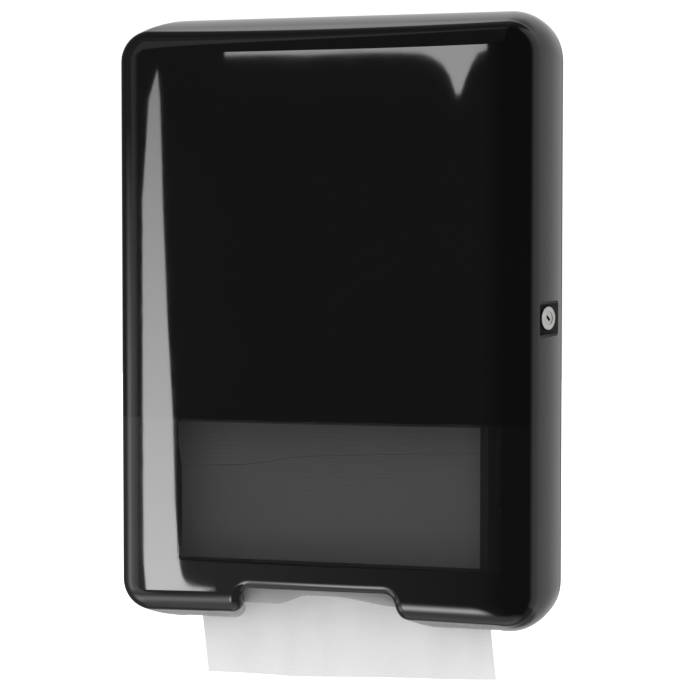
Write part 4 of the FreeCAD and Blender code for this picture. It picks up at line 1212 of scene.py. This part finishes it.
@dataclass
class Studio:
    """Surroundings, light cards and floor."""

    target: Vector = field(default_factory=lambda: Vector((0.0, -0.1, 0.0)))
    ambient: float = 1.08
    card_distance: float = 2.0
    floor_z: float = -1.25
    floor_glow: float = 0.62

    def build(self) -> None:
        """Make the world, the cards and the floor."""
        self.world()
        self.floor()
        left = ((-35.9, 9.3), (-36.9, 8.0), (-37.7, 3.6), (-37.75, -4.4), (-37.8, -12.4))
        foot = ((-37.5, -13.9), (-36.5, -14.2), (-33.5, -13.9), (-31.1, -13.9), (-29.1, -13.82))
        corner = ((-30.8, -13.75), (-32.0, -13.66), (-32.8, -13.5), (-33.25, -13.2), (-33.5, -12.7))
        right = ((-33.75, -11.5), (-34.0, -9.8), (-34.2, -6.2), (-34.8, -1.7), (-35.3, 3.6), (-35.6, 8.0))
        softbox = Card("tall_softbox", left + foot + corner + right, self.card_distance, 12.0, 5.0)
        softbox.build(self.target)
        line = ((-28.0, 10.0), (-19.0, 10.05), (-8.0, 10.15), (-5.7, 10.1))
        spike = ((-4.3, 9.9), (-3.2, 9.6), (-2.4, 9.1), (-1.7, 8.25), (-1.2, 8.3), (-0.5, 9.1), (0.0, 9.6))
        fall = ((0.6, 10.0), (1.7, 10.28), (1.7, 10.55), (-3.0, 11.2))
        upper = ((-8.0, 12.0), (-19.0, 13.5), (-28.0, 10.8))
        strip = Card("top_strip", line + spike + fall + upper, self.card_distance, 7.0, 7.0)
        strip.build(self.target)

    def world(self) -> None:
        """Pale behind and to the right for gloss, dark in front, white for the camera, even for the rest."""
        world = bpy.data.worlds.new("surroundings")
        bpy.context.scene.world = world
        world.use_nodes = True
        graph = Graph(world.node_tree)
        rays = graph.add("LightPath").outputs
        parts = graph.add("SeparateXYZ", {0: graph.add("TexCoord").outputs["Generated"]}).outputs
        ahead = graph.math("MULTIPLY", parts["Y"], -1.0)
        azimuth = graph.math("DEGREES", graph.math("ARCTAN2", parts["X"], ahead))
        elevation = graph.math("DEGREES", graph.math("ARCSINE", parts["Z"]))
        shown = graph.total(
            graph.ramp(azimuth, -2.2, -0.5, 0.10, 0.03),
            self.pale_back(graph, azimuth, elevation),
            self.left_glow(graph, azimuth, elevation),
            self.low_glow(graph, parts, azimuth, elevation),
        )
        for_gloss = graph.product(shown, rays["Is Glossy Ray"])
        for_rest = graph.product(graph.math("SUBTRACT", 1.0, rays["Is Glossy Ray"]), self.ambient)
        strength = graph.math("MAXIMUM", graph.math("ADD", for_gloss, for_rest), rays["Is Camera Ray"])
        graph.finish("Background", {"Color": grey(1.0), "Strength": strength}, "OutputWorld")
        bpy.context.scene.view_settings.view_transform = "Standard"

    @staticmethod
    def pale_back(graph: Graph, azimuth: object, elevation: object) -> Socket:
        """Pale surroundings to the right and behind, with a darker ceiling and a pale floor far below."""
        right = graph.total(graph.ramp(azimuth, 85, 107, 0.0, 0.57), graph.ramp(azimuth, 150, 165, 0.0, 0.1))
        round_back = graph.math("MAXIMUM", right, graph.ramp(azimuth, -155, -148, 0.65, 0.0))
        ceiling = graph.ramp(graph.math("ABSOLUTE", azimuth), 132, 150, 64.0, 38.0)
        under = graph.ramp(graph.math("SUBTRACT", elevation, ceiling), -5.0, 6.0, 1.0, 0.08)
        above = graph.ramp(elevation, -36.0, -30.0, 0.25, 1.0)
        back = graph.product(round_back, under, above)
        return graph.total(back, graph.ramp(elevation, -70.0, -55.0, 0.6, 0.0))

    @staticmethod
    def left_glow(graph: Graph, azimuth: object, elevation: object) -> Socket:
        """Soft glow at the left, which the rolled left edge mirrors."""
        peak = graph.hill(azimuth, -67.0, 16.0)
        fall = graph.ramp(elevation, -3.0, 3.0, 2.1, 0.12)
        shelf = (graph.ramp(azimuth, -56.0, -46.0, 0.0, 0.8), graph.ramp(azimuth, -35.25, -34.95, 1.0, 0.0))
        low = graph.ramp(elevation, -30.0, -20.0, 0.0, 1.0)
        high = graph.ramp(elevation, -3.0, 3.0, 1.0, 0.5)
        return graph.product(low, graph.total(graph.product(peak, fall), graph.product(*shelf, high)))

    @staticmethod
    def low_glow(graph: Graph, parts: object, azimuth: object, elevation: object) -> Socket:
        """Bright band below the front, stronger towards the middle, with an upright end at the right."""
        strength = graph.ramp(azimuth, -33.0, -24.0, 2.4, 7.5)
        across = graph.total(graph.product(parts["X"], 0.996), graph.product(parts["Y"], 0.089))
        ends = (graph.ramp(azimuth, -100.0, -70.0, 0.0, 1.0), graph.ramp(across, -0.150, -0.134, 1.0, 0.0))
        return graph.product(strength, *ends, graph.hill(elevation, -46.0, 12.5))

    def floor(self) -> None:
        """Pale floor that looks white and keeps a shadow."""
        deselect_all()
        bpy.ops.mesh.primitive_plane_add(size=40.0, location=(0.0, 0.0, self.floor_z))
        piece = newest("floor")
        apply_place(piece)
        material, graph = new_material("pale_floor")
        tone = graph.ramp(graph.noise(graph.place(), 3.0), 0.3, 0.7, 0.84, 0.88)
        shade = graph.add("BsdfDiffuse", {"Color": graph.blend(tone, grey(0.0), grey(1.0))})
        seen = graph.product(graph.add("LightPath").outputs["Is Camera Ray"], self.floor_glow)
        glow = graph.add("Emission", {"Color": grey(1.0), "Strength": seen})
        graph.finish("AddShader", {0: shade.outputs[0], 1: glow.outputs[0]})
        put_finish(piece, material)
        piece.visible_glossy = False


@dataclass(frozen=True)
class Viewpoint:
    """Camera at the photograph's viewing angle."""

    place: Triple = (0.4805, -1.6194, 0.0557)
    turn: float = 16.71
    dip: float = 2.64
    focal_pixels: float = 2289.2
    picture_width: float = 700.0
    sensor: float = 36.0

    def build(self) -> None:
        """Make the camera and look through it."""
        data = bpy.data.cameras.new("viewpoint")
        data.sensor_width = self.sensor
        data.lens = self.focal_pixels * self.sensor / self.picture_width
        camera = bpy.data.objects.new("viewpoint", data)
        camera.location = self.place
        camera.rotation_euler = (math.radians(90.0 - self.dip), 0.0, math.radians(self.turn))
        bpy.context.scene.collection.objects.link(camera)
        bpy.context.scene.camera = camera


def main() -> None:
    """Load the frame, dress its nodes, model the new pieces, and set light and camera."""
    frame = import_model()
    for leftover in [o for o in bpy.data.objects if o.name in ("Cube", "Light", "Camera")]:
        bpy.data.objects.remove(leftover)
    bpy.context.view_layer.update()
    deselect_all()
    Viewpoint().build()
    finishes = Finishes()
    finishes.build()
    finishes.dress(frame["nodes"])
    form = CoverForm()
    surface = form.surface()
    pieces = [
        UpperCover(form, surface, finishes),
        Window(form, surface, finishes),
        DispensingLip(finishes),
        TowelStack(finishes, "lower_towel_bundle", 11, joint_at_top=True, left_trim=0.002, right_trim=-0.0013),
        TowelStack(finishes, "upper_towel_bundle", 12, joint_at_top=False, left_trim=0.001, lean=-0.0043),
        LeadingTowel(finishes),
    ]
    for maker in pieces:
        piece = maker.build()
        LOG.info("piece %s: %d faces", piece.name, len(piece.data.polygons))
    Studio().build()
    deselect_all()


if __name__ == "__main__":
    logging.basicConfig(level=logging.INFO)
    main()
